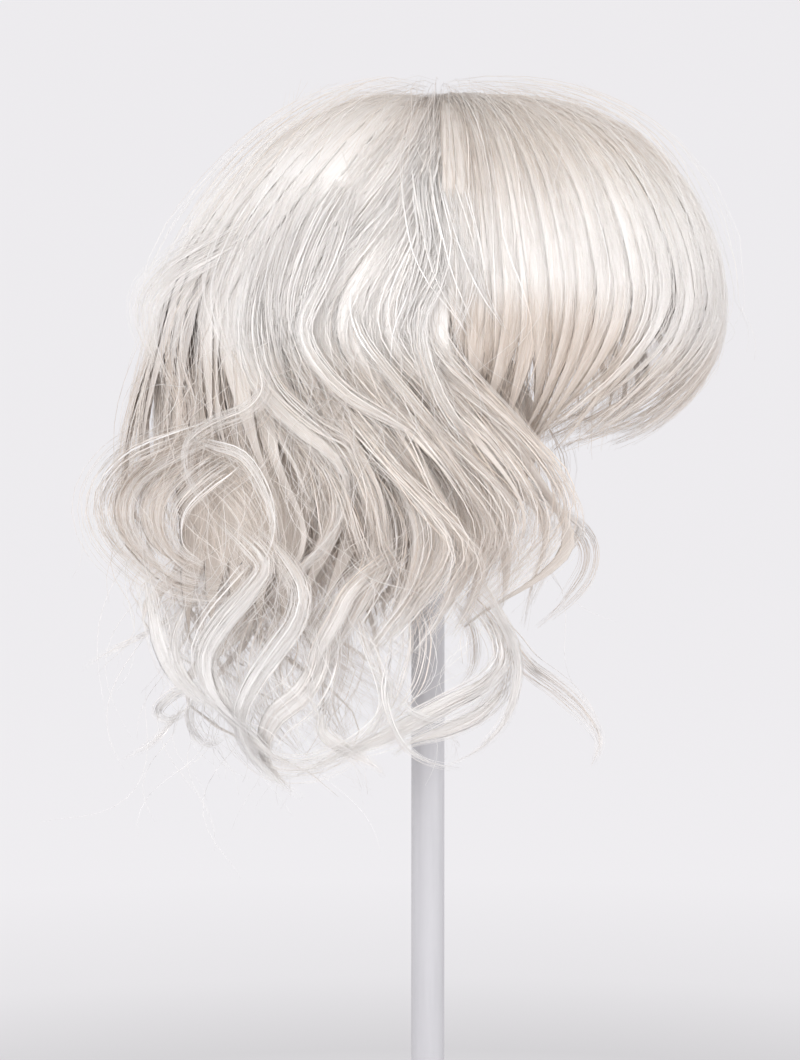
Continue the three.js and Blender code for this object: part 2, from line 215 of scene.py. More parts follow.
def addLights(lights):
    middle = Vector((0, 0, lightsAim))
    for light in lights:
        data = bpy.data.lights.new(light["name"], "AREA")
        data.shape = "DISK"
        data.size = light["size"]
        data.energy = light["power"]
        lamp = bpy.data.objects.new(light["name"], data)
        away = towards(light["azimuth"], light["elevation"])
        lamp.location = middle + away * light["distance"]
        lamp.rotation_euler = away.to_track_quat("Z", "Y").to_euler()
        scene.collection.objects.link(lamp)


makeStage(stageLook)
addLights(lights)
print("stage and lights set")


# hard pieces: helpers

def softenEdges(bm, sharper, offset, segments):
    # bevels each edge that bends by more than this angle
    edges = [e for e in bm.edges if len(e.link_faces) == 2 and e.calc_face_angle() > math.radians(sharper)]
    bmesh.ops.bevel(
        bm, geom=edges, offset=offset * mm, segments=segments, profile=0.5, affect="EDGES", material=-1,
        clamp_overlap=True,
    )
    bmesh.ops.recalc_face_normals(bm, faces=bm.faces)


def wearAs(piece, node):
    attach(piece, "root")
    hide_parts(node)


def mottled(name, colours, scale, roughness, bump, stretch=(1, 1, 1), metallic=0.0):
    # material whose colour, roughness and height vary with a noise in the piece's own space
    material, nodes, links, shader = newMaterial(name)
    place = addNode(nodes, "ShaderNodeTexCoord")
    scaled = addNode(nodes, "ShaderNodeMapping", {"Scale": stretch})
    noise = addNode(nodes, "ShaderNodeTexNoise", {"Scale": scale, "Detail": 4})
    ramp = addRamp(nodes, [(0.3, colours[0]), (0.7, colours[1])])
    rough = addNode(nodes, "ShaderNodeMapRange", {"To Min": roughness[0], "To Max": roughness[1]})
    height = addNode(nodes, "ShaderNodeBump", {"Strength": bump, "Distance": 0.0002})
    wire(
        links,
        (place, "Object", scaled, "Vector"), (scaled, "Vector", noise, "Vector"),
        (noise, "Fac", ramp, "Fac"), (noise, "Fac", rough, "Value"),
        (noise, "Fac", height, "Height"), (ramp, "Color", shader, "Base Color"),
        (rough, "Result", shader, "Roughness"), (height, "Normal", shader, "Normal"),
    )
    setInputs(shader, {"Metallic": metallic})
    return material


# stand: a frosted rod in a weighted disc, with a domed rest for the cap
stand = {
    "bore": 7.9,
    "rod": {"radius": 7.5, "bottom": 4.4, "top": 467.1},
    "base": {"radius": 80, "edge": 8, "rise": 12, "bossRadius": 18, "bossHeight": 24, "floor": 4},
    "rest": {
        "radius": 42, "curve": 62, "lip": 3.5, "drop": 22, "boss": 13, "bossDrop": 44, "socket": 20,
        "top": 487.5, "bends": 16,
    },
}
frostedColours = (0.52, 0.515, 0.535), (0.56, 0.555, 0.575)
frosted = mottled("frostedRod", frostedColours, 260, (0.28, 0.42), 0.15, (1, 1, 0.08))
moulded = mottled("mouldedDisc", ((0.66, 0.66, 0.68), (0.72, 0.72, 0.735)), 900, (0.4, 0.55), 0.3)


def turned(name, node, profile, steps, sharper, soft, material):
    bm = bmesh.new()
    spin(bm, profile, steps)
    softenEdges(bm, sharper, soft, 3)
    wearAs(fromBmesh(name, bm, material), node)


def makeStand(stand):
    bore = stand["bore"]
    radius, low, high = (stand["rod"][key] for key in ("radius", "bottom", "top"))
    profile = [(0, low), (radius, low), (radius, high), (0, high)]
    turned("standRod", "stand_post", profile, 64, 60, 0.8, frosted)
    base = stand["base"]
    foot, edge, rise, boss = base["radius"], base["edge"], base["rise"], base["bossRadius"]
    profile = [
        (0, 1), (foot - 12, 1), (foot - 12, 0), (foot - 1, 0), (foot, 1), (foot, edge - 3), (foot - 3, edge),
        (foot - 7, edge + 0.3), (foot - 7.6, edge - 0.3), (foot - 8.2, edge + 0.4),
        (boss + 4, rise), (boss + 1, rise + 1), (boss, rise + 4), (boss - 1, base["bossHeight"]),
        (bore, base["bossHeight"]), (bore, base["floor"]), (0, base["floor"]),
    ]
    turned("standDisc", "stand_base", profile, 96, 40, 0.6, moulded)
    rest = stand["rest"]
    top, boss, curve = rest["top"], rest["boss"], rest["curve"]
    socket, bossEnd, under = top - rest["socket"], top - rest["bossDrop"], top - rest["drop"]
    profile = [
        (0, socket), (bore, socket), (bore, bossEnd), (boss, bossEnd), (boss, under - 1),
        (rest["radius"] - rest["lip"], under), (rest["radius"], under + rest["lip"]),
    ]
    rim = math.asin(rest["radius"] / curve)
    for step in range(rest["bends"], -1, -1):
        turn = rim * step / rest["bends"]
        profile.append((curve * math.sin(turn), top + curve * (math.cos(turn) - 1)))
    turned("standRest", "stand_top", profile, 72, 40, 0.7, moulded)


makeStand(stand)
print("stand made")


# cap: a thin net dome with a gathered elastic rim and rows of weft tape inside
cap = {
    "halfWidth": 72, "halfLength": 80, "height": 70, "wall": 1.5, "rim": 420,
    "bandHeight": 9, "bandThick": 0.7, "gathers": 84, "gatherDepth": 0.25, "ringSteps": 168, "below": 0.6,
    "tapes": (433, 443, 453, 462), "tapeHeight": 2.6, "tapeInside": 0.6, "tapeThick": 1,
}


def netMaterial():
    # knotted net: pale threads round small open cells
    material, nodes, links, shader = newMaterial("capNet")
    place = addNode(nodes, "ShaderNodeTexCoord")
    cells = addNode(nodes, "ShaderNodeTexVoronoi", feature="DISTANCE_TO_EDGE")
    setInputs(cells, {"Scale": 620, "Randomness": 0.35})
    ramp = addRamp(nodes, [(0.04, (0.84, 0.79, 0.735)), (0.16, (0.62, 0.555, 0.495))])
    height = addNode(nodes, "ShaderNodeBump", {"Strength": 0.5, "Distance": 0.0004}, invert=True)
    wire(
        links,
        (place, "Object", cells, "Vector"), (cells, "Distance", ramp, "Fac"),
        (cells, "Distance", height, "Height"), (ramp, "Color", shader, "Base Color"),
        (height, "Normal", shader, "Normal"),
    )
    setInputs(shader, {"Roughness": 0.85})
    return material


def capRing(bm, cap, places):
    # an oval ring of a closed section; places are (share of the dome's plan, millimetres inside it, height)
    steps = cap["ringSteps"]
    rows = []
    for step in range(steps):
        turn = math.tau * step / steps
        gather = cap["gatherDepth"] * math.cos(cap["gathers"] * turn)
        row = []
        for share, inside, z in places:
            x = (cap["halfWidth"] * share - inside + gather) * math.sin(turn)
            y = (cap["halfLength"] * share - inside + gather) * math.cos(turn)
            row.append(bm.verts.new((x * mm, y * mm, z * mm)))
        rows.append(row)
    for step in range(steps):
        here, there = rows[step], rows[(step + 1) % steps]
        for i in range(len(places)):
            j = (i + 1) % len(places)
            bm.faces.new((here[i], here[j], there[j], there[i]))


def makeCap(cap):
    bm = bmesh.new()
    wall, rim, height, length = cap["wall"], cap["rim"], cap["height"], cap["halfLength"]
    outer = [(math.cos(t), math.sin(t)) for t in np.linspace(0, math.pi / 2, 19)]
    profile = [(length * c, rim + height * s) for c, s in outer]
    profile += [((length - wall) * c, rim + (height - wall) * s) for c, s in reversed(outer)]
    spin(bm, profile, 96, closed=True)
    bmesh.ops.scale(bm, vec=(cap["halfWidth"] / length, 1, 1), verts=bm.verts)
    wearAs(fromBmesh("capNet", bm, netMaterial()), "cap")
    bm = bmesh.new()
    low, high = rim - cap["below"], rim + cap["bandHeight"]
    thick = cap["bandThick"]

    def planAt(z):
        return math.sqrt(max(0, 1 - ((z - rim) / height) ** 2))

    def addBand(lowShare, low, highShare, high, outside, inside):
        capRing(bm, cap, [
            (lowShare, outside, low), (highShare, outside, high),
            (highShare, inside, high), (lowShare, inside, low),
        ])

    addBand(1, low, planAt(high), high, -thick, wall + thick)
    for z in cap["tapes"]:
        upper = z + cap["tapeHeight"]
        addBand(planAt(z), z, planAt(upper), upper, cap["tapeInside"], wall + cap["tapeThick"])
    bmesh.ops.recalc_face_normals(bm, faces=bm.faces)
    tape = mottled("capTape", ((0.74, 0.68, 0.62), (0.82, 0.77, 0.71)), 700, (0.75, 0.9), 0.6, (1, 1, 3))
    wearAs(fromBmesh("capTape", bm, tape), "cap")


makeCap(cap)
print("cap made")


# clips: sprung combs sewn inside the rim
clips = {
    "length": 30, "bar": 4.5, "teeth": 5, "toothLength": 9, "toothWidth": 2.4, "thickness": 1.2,
    "bottom": 422,
    # degrees round the rim and millimetres out from the post
    "places": {
        "clip_front": (0, 71.82), "clip_right": (90, 64.54),
        "clip_back": (180, 71.82), "clip_left": (270, 64.54),
    },
}


def makeClip(node, around, inner, clips, material):
    bm = bmesh.new()
    width, bar = clips["toothWidth"], clips["bar"]
    pitch = (clips["length"] - width) / (clips["teeth"] - 1)
    middles = [(width - clips["length"]) / 2 + pitch * tooth for tooth in range(clips["teeth"])]
    sides = [middle + side * width / 2 for middle in middles for side in (-1, 1)]
    bottom = [bm.verts.new((x * mm, 0, 0)) for x in sides]
    top = [bm.verts.new((x * mm, 0, bar * mm)) for x in sides]
    faces = []
    for i in range(len(sides) - 1):
        faces.append(bm.faces.new((bottom[i], bottom[i + 1], top[i + 1], top[i])))
    for tooth, middle in enumerate(middles):
        tip = (bar + clips["toothLength"]) * mm
        ends = [bm.verts.new(((middle + side * width / 4) * mm, 0, tip)) for side in (1, -1)]
        faces.append(bm.faces.new((top[2 * tooth], top[2 * tooth + 1], *ends)))
    grown = bmesh.ops.extrude_face_region(bm, geom=faces)["geom"]
    moved = [part for part in grown if isinstance(part, bmesh.types.BMVert)]
    bmesh.ops.translate(bm, vec=(0, -clips["thickness"] * mm, 0), verts=moved)
    bmesh.ops.recalc_face_normals(bm, faces=bm.faces)
    softenEdges(bm, 30, 0.3, 2)
    sine, cosine = math.sin(math.radians(around)), math.cos(math.radians(around))
    for vert in bm.verts:
        x, y, z = vert.co
        out = inner * mm - y
        vert.co = (cosine * x - sine * out, -cosine * out - sine * x, z + clips["bottom"] * mm)
    bmesh.ops.recalc_face_normals(bm, faces=bm.faces)
    wearAs(fromBmesh(node.replace("clip_", "snapClip."), bm, material, False), node)


steelColours = (0.52, 0.5, 0.48), (0.62, 0.6, 0.575)
clipSteel = mottled("clipSteel", steelColours, 1400, (0.25, 0.42), 0.25, (0.1, 0.1, 1), 0.8)
for node, (around, inner) in clips["places"].items():
    makeClip(node, around, inner, clips, clipSteel)
print("clips made")


# hair form, in millimetres and degrees
form = {
    "crown": (0, -5, 500),
    "front": {"reach": 133, "shoulder": 98, "fullness": 2.3, "crest": 8},
    "sides": {"reach": 113, "shoulder": 104, "fullness": 2.1, "crest": 8},
    "back": {"reach": 133, "shoulder": 94, "fullness": 1.5, "crest": 17},
    "waveStarts": 30,
    "waveFull": 125,
    "firstSwing": 98,
    "quickensAfter": 0.4,
    "quickening": 0.3,
    "roundStarts": 110,
    "roundFull": 210,
    "roundness": 0.65,
    "curlStarts": 150,
    "curlFull": 230,
    "leanStarts": 60,
    "leanFull": 260,
    "hollow": (76, 108, 136, 164),  # depths between which the painted shade of the hollow under a roll lies
    "heart": (0, -5, 380),  # the flat sides of strands face away from here
}
# how single strands stray from their lock
straying = {
    "layeredEnds": (0.55, 0.9),
    "across": 0.55,
    "farthest": 1.3,
    "share": 0.1,
    "times": 3.5,
    "loose": (0.4, 1.6),
    "rates": (0.6, 1.5),
    "pitches": (170, 80, 170, 80),
}


def smoothStep(value, low, high):
    part = np.clip((value - low) / (high - low), 0, 1)
    return part * part * (3 - 2 * part)


def between(value, limits):
    # 1 within the inner two of four limits, 0 outside the outer two
    return smoothStep(value, *limits[:2]) * (1 - smoothStep(value, *limits[2:]))


def outlineAt(around):
    turn = math.radians(around)
    lengthways = form["front"] if math.cos(turn) > 0 else form["back"]
    share = math.cos(turn) ** 2
    return {size: lengthways[size] * share + form["sides"][size] * (1 - share) for size in lengthways}


def lockProfile(lock):
    # side view of a lock, from its root over the shoulder and down
    outline = outlineAt(lock["around"])
    widest = outline["reach"] - lock["inset"]
    shoulder = outline["shoulder"] - lock.get("higher", 0)
    top = shoulder + lock["inset"]
    power = 2 / outline["fullness"]
    turn = np.linspace(0.001, math.pi / 2, 80)
    radius = widest * np.sin(turn) ** power
    lift = outline["crest"] * np.sin(2 * turn) * np.cos(turn)
    depth = lock["inset"] + shoulder * (1 - np.cos(turn) ** power) - lift
    kept = radius >= lock["root"]
    radius = np.concatenate([[lock["root"] - lock["dive"]], radius[kept]])
    depth = np.concatenate([[lock["inset"] + lock["dive"]], depth[kept]])
    overTop = len(radius)
    fall = np.linspace(0, 1, 81)[1:]
    if "roll" in lock:
        bend = math.radians(lock["rollTurn"]) * fall
        fallRadius = widest - lock["roll"] * (1 - np.cos(bend))
        fallDepth = top + (lock["drop"] - top) * np.sin(bend)
    else:
        fallRadius = widest + lock["belly"] * np.sin(math.pi * fall) - lock["tuck"] * fall ** 2.2
        fallDepth = top + (lock["drop"] - top) * fall
    fallen = np.concatenate([np.zeros(overTop), fall])
    radius = np.concatenate([radius, fallRadius])
    depth = np.concatenate([depth, fallDepth])
    along = np.concatenate([[0], np.cumsum(np.hypot(np.diff(radius), np.diff(depth)))])
    slope = np.gradient(radius, along), np.gradient(depth, along)
    return {
        "length": along[-1],
        "shoulder": along[overTop - 1] / along[-1],
        "along": along / along[-1],
        "radius": radius,
        "depth": depth,
        "fallen": fallen,
        "outward": slope[1],
        "upward": slope[0],
    }


def swing(lock, depth, ahead):
    # how far a strand lies aside and out from its lock's profile; ahead is its place in the wave
    if "roll" in lock:
        return 0 * depth, 0 * depth
    swung = lock["wave"] * smoothStep(depth, form["waveStarts"], form["waveFull"])
    waves = (depth - form["firstSwing"] - lock["late"]) / lock["pitch"]
    quick = form["quickening"] * np.maximum(0, waves - form["quickensAfter"]) ** 2
    phase = math.tau * (waves + quick) + ahead
    drift = lock["lean"] * smoothStep(depth, form["leanStarts"], form["leanFull"])
    roundness = form["roundness"] * smoothStep(depth, form["roundStarts"], form["roundFull"])
    curled = lock["curl"] * smoothStep(depth, form["curlStarts"], form["curlFull"])
    spiral = math.radians(lock["turn"]) + math.tau * (depth - form["curlStarts"]) / lock["curlPitch"] + ahead
    aside = swung * np.cos(phase) + curled * np.sin(spiral) - drift
    return aside, roundness * swung * np.sin(phase) + curled * np.cos(spiral)


def stations(profile, steps):
    # shares of a lock's length: a few over the top and more below the shoulder, where it curls
    over, down = steps
    return np.concatenate([
        np.linspace(0, profile["shoulder"], over + 1)[:-1],
        np.linspace(profile["shoulder"], 1, down + 1),
    ])


def lockPlaces(lock, profile, across, layer, share, asideToo=0, outToo=0):
    # points of a lock: across and layer are places in its section, share is how far along it
    radius, depth, fallen, outward, upward = (
        np.interp(share.ravel(), profile["along"], profile[key]).reshape(share.shape)
        for key in ("radius", "depth", "fallen", "outward", "upward")
    )
    banded = smoothStep(depth, form["roundStarts"], form["roundFull"])
    narrowed = 1 - lock["narrowing"] * smoothStep(fallen, 0, 0.6)
    taper = 1 - 0.75 * fallen ** 4
    ahead = math.radians(lock.get("spread", 0)) * across * banded * taper
    aside, out = swing(lock, depth, ahead)
    aside = (aside + asideToo) * (-1 if lock["around"] % 360 > 180 else 1)
    swept = lock.get("sweep", 0) * smoothStep(depth, lock.get("sweepFrom", 62), lock.get("sweepTo", 158))
    centre = np.radians(lock["around"] + swept)
    angle = centre + np.radians(lock["share"] / 2) * across * narrowed * taper
    layer = layer + lock.get("tilt", 0) * across
    thick = lock["thickness"] / 2 * layer * np.minimum(1, 0.3 + 8 * share) * taper
    reach = radius + thick * outward + out + outToo
    x = -np.sin(angle) * reach - np.cos(centre) * aside
    y = -np.cos(angle) * reach + np.sin(centre) * aside
    return np.stack([x, y, thick * upward - depth], axis=-1) + np.array(form["crown"])


def lockTones(lock, profile, share, tones):
    # painted shade: darker near the root, and in the hollow under a rolled lock
    length = share * profile["length"]
    depth = np.interp(share.ravel(), profile["along"], profile["depth"]).reshape(share.shape)
    tones = tones - hairLook["rootShade"] * (1 - smoothStep(length, *lock.get("rooted", (44, 122))))
    return np.clip(tones, 0, 1) - lock.get("hollow", 0) * between(depth, form["hollow"])


def strandPaths(lock, count, steps, rng):
    # centre lines of the strands of one lock; each wanders a little off it, more so towards the tip
    profile = lockProfile(lock)
    layered = rng.random(count) < lock["layered"]
    early = rng.uniform(*straying["layeredEnds"], count)
    ends = np.where(layered, early, rng.uniform(lock["shortest"], 1, count))
    begins = lock.get("begins", 0) * rng.random(count)[:, None] ** 2
    share = begins + stations(profile, steps)[None, :] * (ends[:, None] - begins)
    across = rng.normal(0, straying["across"], count)
    across = np.clip(across, -straying["farthest"], straying["farthest"])[:, None]
    layer = 1 - 2 * rng.random(count)[:, None] ** 2.2
    stray = np.where(rng.random(count) < straying["share"], straying["times"], 1)[:, None]
    loose = lock["loose"] * stray * (0.25 + share) * rng.uniform(*straying["loose"], count)[:, None]
    phase = rng.uniform(0, math.tau, (4, count))[:, :, None]
    rate = rng.uniform(*straying["rates"], (4, count))[:, :, None]
    length = share * profile["length"]
    pitches = np.array(straying["pitches"])[:, None, None]
    wander = np.sin(phase + math.tau * rate * length / pitches)
    aside = loose * (wander[0] + 0.4 * wander[1])
    out = 0.6 * loose * (wander[2] + 0.4 * wander[3])
    # painted shade: deeper locks, and strands low in a lock's layer, get darker tones
    tones = hairLook["strandTone"] - lock["inset"] / hairLook["insetPerTone"]
    tones = tones - hairLook["underShade"] * (1 - layer) + rng.normal(0, hairLook["toneSpread"], (count, 1))
    tones = lockTones(lock, profile, share, tones)
    return lockPlaces(lock, profile, across, layer, share, aside, out), tones


def strandRings(paths, widths, thicknesses):
    # three corners round each point of each strand, the first one outwards; thinner at root and tip
    points = paths.shape[1]
    tangent = np.gradient(paths, axis=1)
    tangent /= np.linalg.norm(tangent, axis=2, keepdims=True) + 1e-9
    guide = paths - np.array(form["heart"])
    guide = guide - (guide * tangent).sum(2, keepdims=True) * tangent
    guide /= np.linalg.norm(guide, axis=2, keepdims=True) + 1e-9
    cross = np.cross(tangent, guide)
    along = np.linspace(0, 1, points)
    taper = np.minimum(1, 0.3 + 4 * along) * (1 - 0.7 * along ** 3)
    aside, out = ((size[:, None] / 2 * taper[None, :])[:, :, None] for size in (widths, thicknesses))
    turns = (0, math.tau / 3, 2 * math.tau / 3)
    corners = [paths + out * math.cos(turn) * guide + aside * math.sin(turn) * cross for turn in turns]
    return np.stack(corners, axis=2)


def bodyRings(lock, steps, sides=10):
    # a lock's own body, a flattened tube just under its strands that thins towards its end
    turn = np.arange(sides)[:, None] * math.tau / sides
    lower = {**lock, "inset": lock["inset"] + 0.3 + 0.15 * lock["thickness"], "tilt": 0}
    profile = lockProfile(lower)
    share = stations(profile, steps)[None, :] * np.ones((sides, 1))
    thin = 1 - 0.9 * smoothStep(share, 0.5, 1)
    across = lock.get("bodyWidth", 0.55) * np.cos(turn) * thin
    places = lockPlaces(lower, profile, across, -0.5 * np.sin(turn) * thin, share * lock["bodyEnds"])
    # painted shade: bodies start darker than strands, and deeper ones darker still
    tones = hairLook["bodyTone"] - lock["inset"] / hairLook["insetPerTone"] + 0 * share[:1]
    tones = lockTones(lock, profile, share[:1] * lock["bodyEnds"], tones)
    return places.transpose(1, 0, 2)[None], tones


def tubeMesh(name, rings, material, tones, flat):
    # closed tubes round all the rings, joined in one mesh; the bake's map lays them side by side
    count, points, sides = rings.shape[:3]
    ringOf = np.arange(count)[:, None] * points + np.arange(points - 1)[None, :]
    first = ringOf[:, :, None] * sides
    side = np.arange(sides)[None, None, :]
    nextSide = (side + 1) % sides
    corners = first + side, first + nextSide, first + sides + nextSide, first + sides + side
    quads = np.stack(corners, axis=-1).reshape(-1, 4)
    start = np.arange(count)[:, None] * points * sides + np.arange(sides)[None, :]
    caps = np.concatenate([start[:, ::-1], start + (points - 1) * sides])
    loops = np.concatenate([quads.ravel(), caps.ravel()]).astype(np.int32)
    totals = np.concatenate([np.full(len(quads), 4), np.full(len(caps), sides)])
    starts = np.concatenate([[0], np.cumsum(totals)[:-1]]).astype(np.int32)
    mesh = bpy.data.meshes.new(name)
    mesh.vertices.add(count * points * sides)
    mesh.vertices.foreach_set("co", (rings * mm).ravel().astype(np.float32))
    mesh.loops.add(len(loops))
    mesh.loops.foreach_set("vertex_index", loops)
    mesh.polygons.add(len(totals))
    mesh.polygons.foreach_set("loop_start", starts)
    mesh.polygons.foreach_set("use_smooth", np.ones(len(totals), dtype=bool))
    mesh.update(calc_edges=True)
    tubeOf = loops // (sides * points)
    pointOf = loops % (sides * points) // sides
    # the quads that close a tube come last round it, so their far corners lie one side on
    wraps = np.zeros(len(loops), dtype=bool)
    wraps[: quads.size] = np.arange(quads.size) // 4 % sides == sides - 1
    sideOf = np.where(wraps & (loops % sides == 0), sides, loops % sides)
    sideShare, pointShare = sideOf / sides, pointOf / (points - 1)
    maps = {
        "OFBake": ((tubeOf + 0.1 + 0.8 * sideShare) / count, 0.01 + 0.98 * pointShare),
        "fibre": (sideShare + tubeOf * 1.37, pointShare),
    }
    for key, place in maps.items():
        place = np.stack(place, axis=-1).astype(np.float32)
        mesh.uv_layers.new(name=key).uv.foreach_set("vector", place.ravel())
    attribute = mesh.attributes.new("strandTone", "FLOAT", "POINT")
    attribute.data.foreach_set("value", np.repeat(np.clip(tones, -0.5, 1).ravel(), sides).astype(np.float32))
    # the long edges of a flat strip stay sharp, so that it shades as a flat one
    ends = np.empty(len(mesh.edges) * 2, dtype=np.int32)
    mesh.edges.foreach_get("vertices", ends)
    ends = ends.reshape(-1, 2)
    lengthways = (ends[:, 0] % sides == ends[:, 1] % sides) & (ends[:, 0] % sides > 0)
    sharp = mesh.attributes.new("sharp_edge", "BOOLEAN", "EDGE")
    sharp.data.foreach_set("value", lengthways & flat[ends[:, 0] // (points * sides)])
    mesh.validate()
    print(name, "strands", count, "triangles", len(quads) * 2 + len(caps) * (sides - 2))
    return linkObject(name, mesh, material)


# hair material: pale fibre, each strand a little different, in strands and flat strips of these millimetres
hairLook = {
    # the darker, warmer stops give the colour of painted shade
    "tones": [
        (0.0, (0.5, 0.405, 0.33)), (0.333, (0.775, 0.678, 0.595)),
        (0.6, (0.918, 0.88, 0.845)), (1.0, (0.962, 0.95, 0.938)),
    ],
    "roughness": 0.55,
    "specular": 0.22,
    "streakiness": 0.9,
    "bodyStreaks": (64, 2.5, 1),
    "stripStreaks": (9, 3, 1),
    "strandTone": 0.74,
    # painted shade: bodies start darker than the strands over them
    "bodyTone": 0.56,
    "toneSpread": 0.11,
    # painted shade: how much deeper locks, strands low in a lock, roots and middle heights are darkened
    "insetPerTone": 110,
    "underShade": 0.14,
    "rootShade": 0.42,
    "midShade": 0.4,
    "midHeights": (240, 300, 370, 400),
    "fine": (0.13, 0.28),
    "stripWidth": (0.4, 0.8),
    "stripThickness": 0.25,
}

# the locks' bodies under the strands: duller and a little greyer
bodyLook = {
    # the darker, warmer stops give the colour of painted shade
    "tones": [
        (0.0, (0.49, 0.42, 0.36)), (0.333, (0.755, 0.692, 0.635)),
        (0.6, (0.895, 0.867, 0.84)), (1.0, (0.95, 0.938, 0.926)),
    ],
    "roughness": 0.66,
    "specular": 0.18,
}


def fibreStreaks(nodes, links, scale):
    # a noise drawn out along the fibres
    fibre = addNode(nodes, "ShaderNodeUVMap", uv_map="fibre")
    scaled = addNode(nodes, "ShaderNodeMapping", {"Scale": scale})
    streak = addNode(nodes, "ShaderNodeTexNoise", {"Scale": 1, "Detail": 3})
    wire(links, (fibre, "UV", scaled, "Vector"), (scaled, "Vector", streak, "Vector"))
    return streak


def hairMaterial(name, look, streaks, bump):
    material, nodes, links, shader = newMaterial(name)
    tone = addNode(nodes, "ShaderNodeAttribute", attribute_name="strandTone")
    streak = fibreStreaks(nodes, links, streaks)
    streakiness = look["streakiness"]
    lighter = addNode(nodes, "ShaderNodeMath", {1: streakiness}, operation="MULTIPLY_ADD")
    # the ramp runs from a tone of -0.5 to one of 1; its dark, warm low end is the colour of painted shade
    shift = (0.5 - streakiness / 2) * 2 / 3
    toRamp = addNode(nodes, "ShaderNodeMath", {1: 2 / 3, 2: shift}, operation="MULTIPLY_ADD")
    ramp = addRamp(nodes, look["tones"])
    if bump:
        height = addNode(nodes, "ShaderNodeBump", {"Strength": bump, "Distance": 0.0004})
        wire(links, (streak, "Fac", height, "Height"), (height, "Normal", shader, "Normal"))
    wire(
        links,
        (streak, "Fac", lighter, 0), (tone, "Fac", lighter, 2), (lighter, "Value", toRamp, 0),
        (toRamp, "Value", ramp, "Fac"), (ramp, "Color", shader, "Base Color"),
    )
    setInputs(shader, {"Roughness": look["roughness"], "Specular IOR Level": look["specular"]})
    return material


strandFinish = hairMaterial("paleStrands", hairLook, hairLook["stripStreaks"], 0)
lockFinish = hairMaterial("paleLocks", {**hairLook, **bodyLook}, hairLook["bodyStreaks"], 0.35)


def shaded(tones, heights):
    # painted shade: a little darker at middle heights
    shade = hairLook["midShade"] * between(heights, hairLook["midHeights"])
    return np.minimum(tones, np.maximum(tones - shade, 0))


def wearStrands(name, strands, node, rng, strips, sizes=hairLook["fine"]):
    # one mesh of strands, this share of them flat strips, worn in place of a node
    paths, tones = strands
    tones = shaded(tones, paths[..., 2])
    count = len(paths)
    flat = rng.random(count) < strips
    fine = rng.uniform(*sizes, count)
    widths = np.where(flat, rng.uniform(*hairLook["stripWidth"], count), fine)
    rings = strandRings(paths, widths, np.where(flat, hairLook["stripThickness"], fine))
    wearAs(tubeMesh(name, rings, strandFinish, tones, flat), node)


def wearBodies(name, bodies, node):
    rings, tones = joined(bodies)
    tones = shaded(tones, rings[..., 2].mean(2))
    wearAs(tubeMesh(name, rings, lockFinish, tones, np.zeros(len(rings), dtype=bool)), node)


def joined(strands):
    return [np.concatenate(parts) for parts in zip(*strands)]


# fringe: fine locks from temple to temple, swept to the wearer's right, that roll under
fringe = {
    "locks": 50,
    "spread": (-72, 78),
    "strands": 2000,
    "strips": 0.03,
    "steps": (6, 6),
    "bodySteps": (14, 14),
    "lock": {
        "inset": 5.5, "root": 3, "dive": 5, "drop": 157, "roll": 62, "rollTurn": 70, "narrowing": 0.15,
        "shortest": 0.76, "loose": 1.5, "thickness": 1.6, "begins": 0.1, "tilt": 0.2, "layered": 0.3,
        # the pair of lengths at the end of the next line is where the painted shade near the roots fades out
        "bodyEnds": 0.93, "bodyWidth": 0.9, "sweepFrom": 84, "sweepTo": 166, "rooted": (94, 160),
    },
    "sweep": (32, 8, 62),  # degrees, and between which angles from the front they fade out
    # the locks towards the right temple turn down sooner and leave a hollow, darkened by painted shade
    "temple": {"from": 20, "to": 52, "higher": 14, "drop": 8, "roll": 14, "rollTurn": 5, "hollow": 0.6},
    "under": {
        "locks": 16, "strands": 320, "spread": (26, 84),
        "lock": {"inset": 36, "root": 40, "roll": 10, "rollTurn": 50, "drop": 172, "share": 9, "sweep": 0},
    },
}


def makeFringe(fringe):
    rng = np.random.default_rng(11)
    strands, bodies = [], []
    each = fringe["strands"] // fringe["locks"]
    low, high = fringe["spread"]
    sweep, sweepStarts, sweepEnds = fringe["sweep"]
    temple = fringe["temple"]
    for around in np.linspace(low, high, fringe["locks"]):
        lock = dict(fringe["lock"])
        lock["around"] = around + rng.normal(0, 1.2)
        lock["share"] = (high - low) / fringe["locks"] * 3
        lock["sweep"] = sweep * (1 - smoothStep(around, sweepStarts, sweepEnds)) + rng.normal(0, 3)
        near = smoothStep(around, temple["from"], temple["to"])
        lock["higher"] = temple["higher"] * near
        lock["drop"] += rng.normal(0, 4) + temple["drop"] * near
        lock["roll"] += temple["roll"] * near
        lock["rollTurn"] += temple["rollTurn"] * near
        # painted shade in the hollow under the temple locks
        lock["hollow"] = temple["hollow"] * near
        bodies.append(bodyRings(lock, fringe["bodySteps"]))
        lock["inset"] += rng.normal(0, 0.5)
        lock["rollTurn"] += rng.normal(0, 5)
        strands.append(strandPaths(lock, each, fringe["steps"], rng))
    under = fringe["under"]
    for around in np.linspace(*under["spread"], under["locks"]):
        lock = {**fringe["lock"], **under["lock"], "around": around + rng.normal(0, 2)}
        strands.append(strandPaths(lock, under["strands"] // under["locks"], fringe["steps"], rng))
    wearStrands("fringeStrands", joined(strands), "fringe", rng, fringe["strips"])
    wearBodies("fringeBody", bodies, "fringe")


makeFringe(fringe)


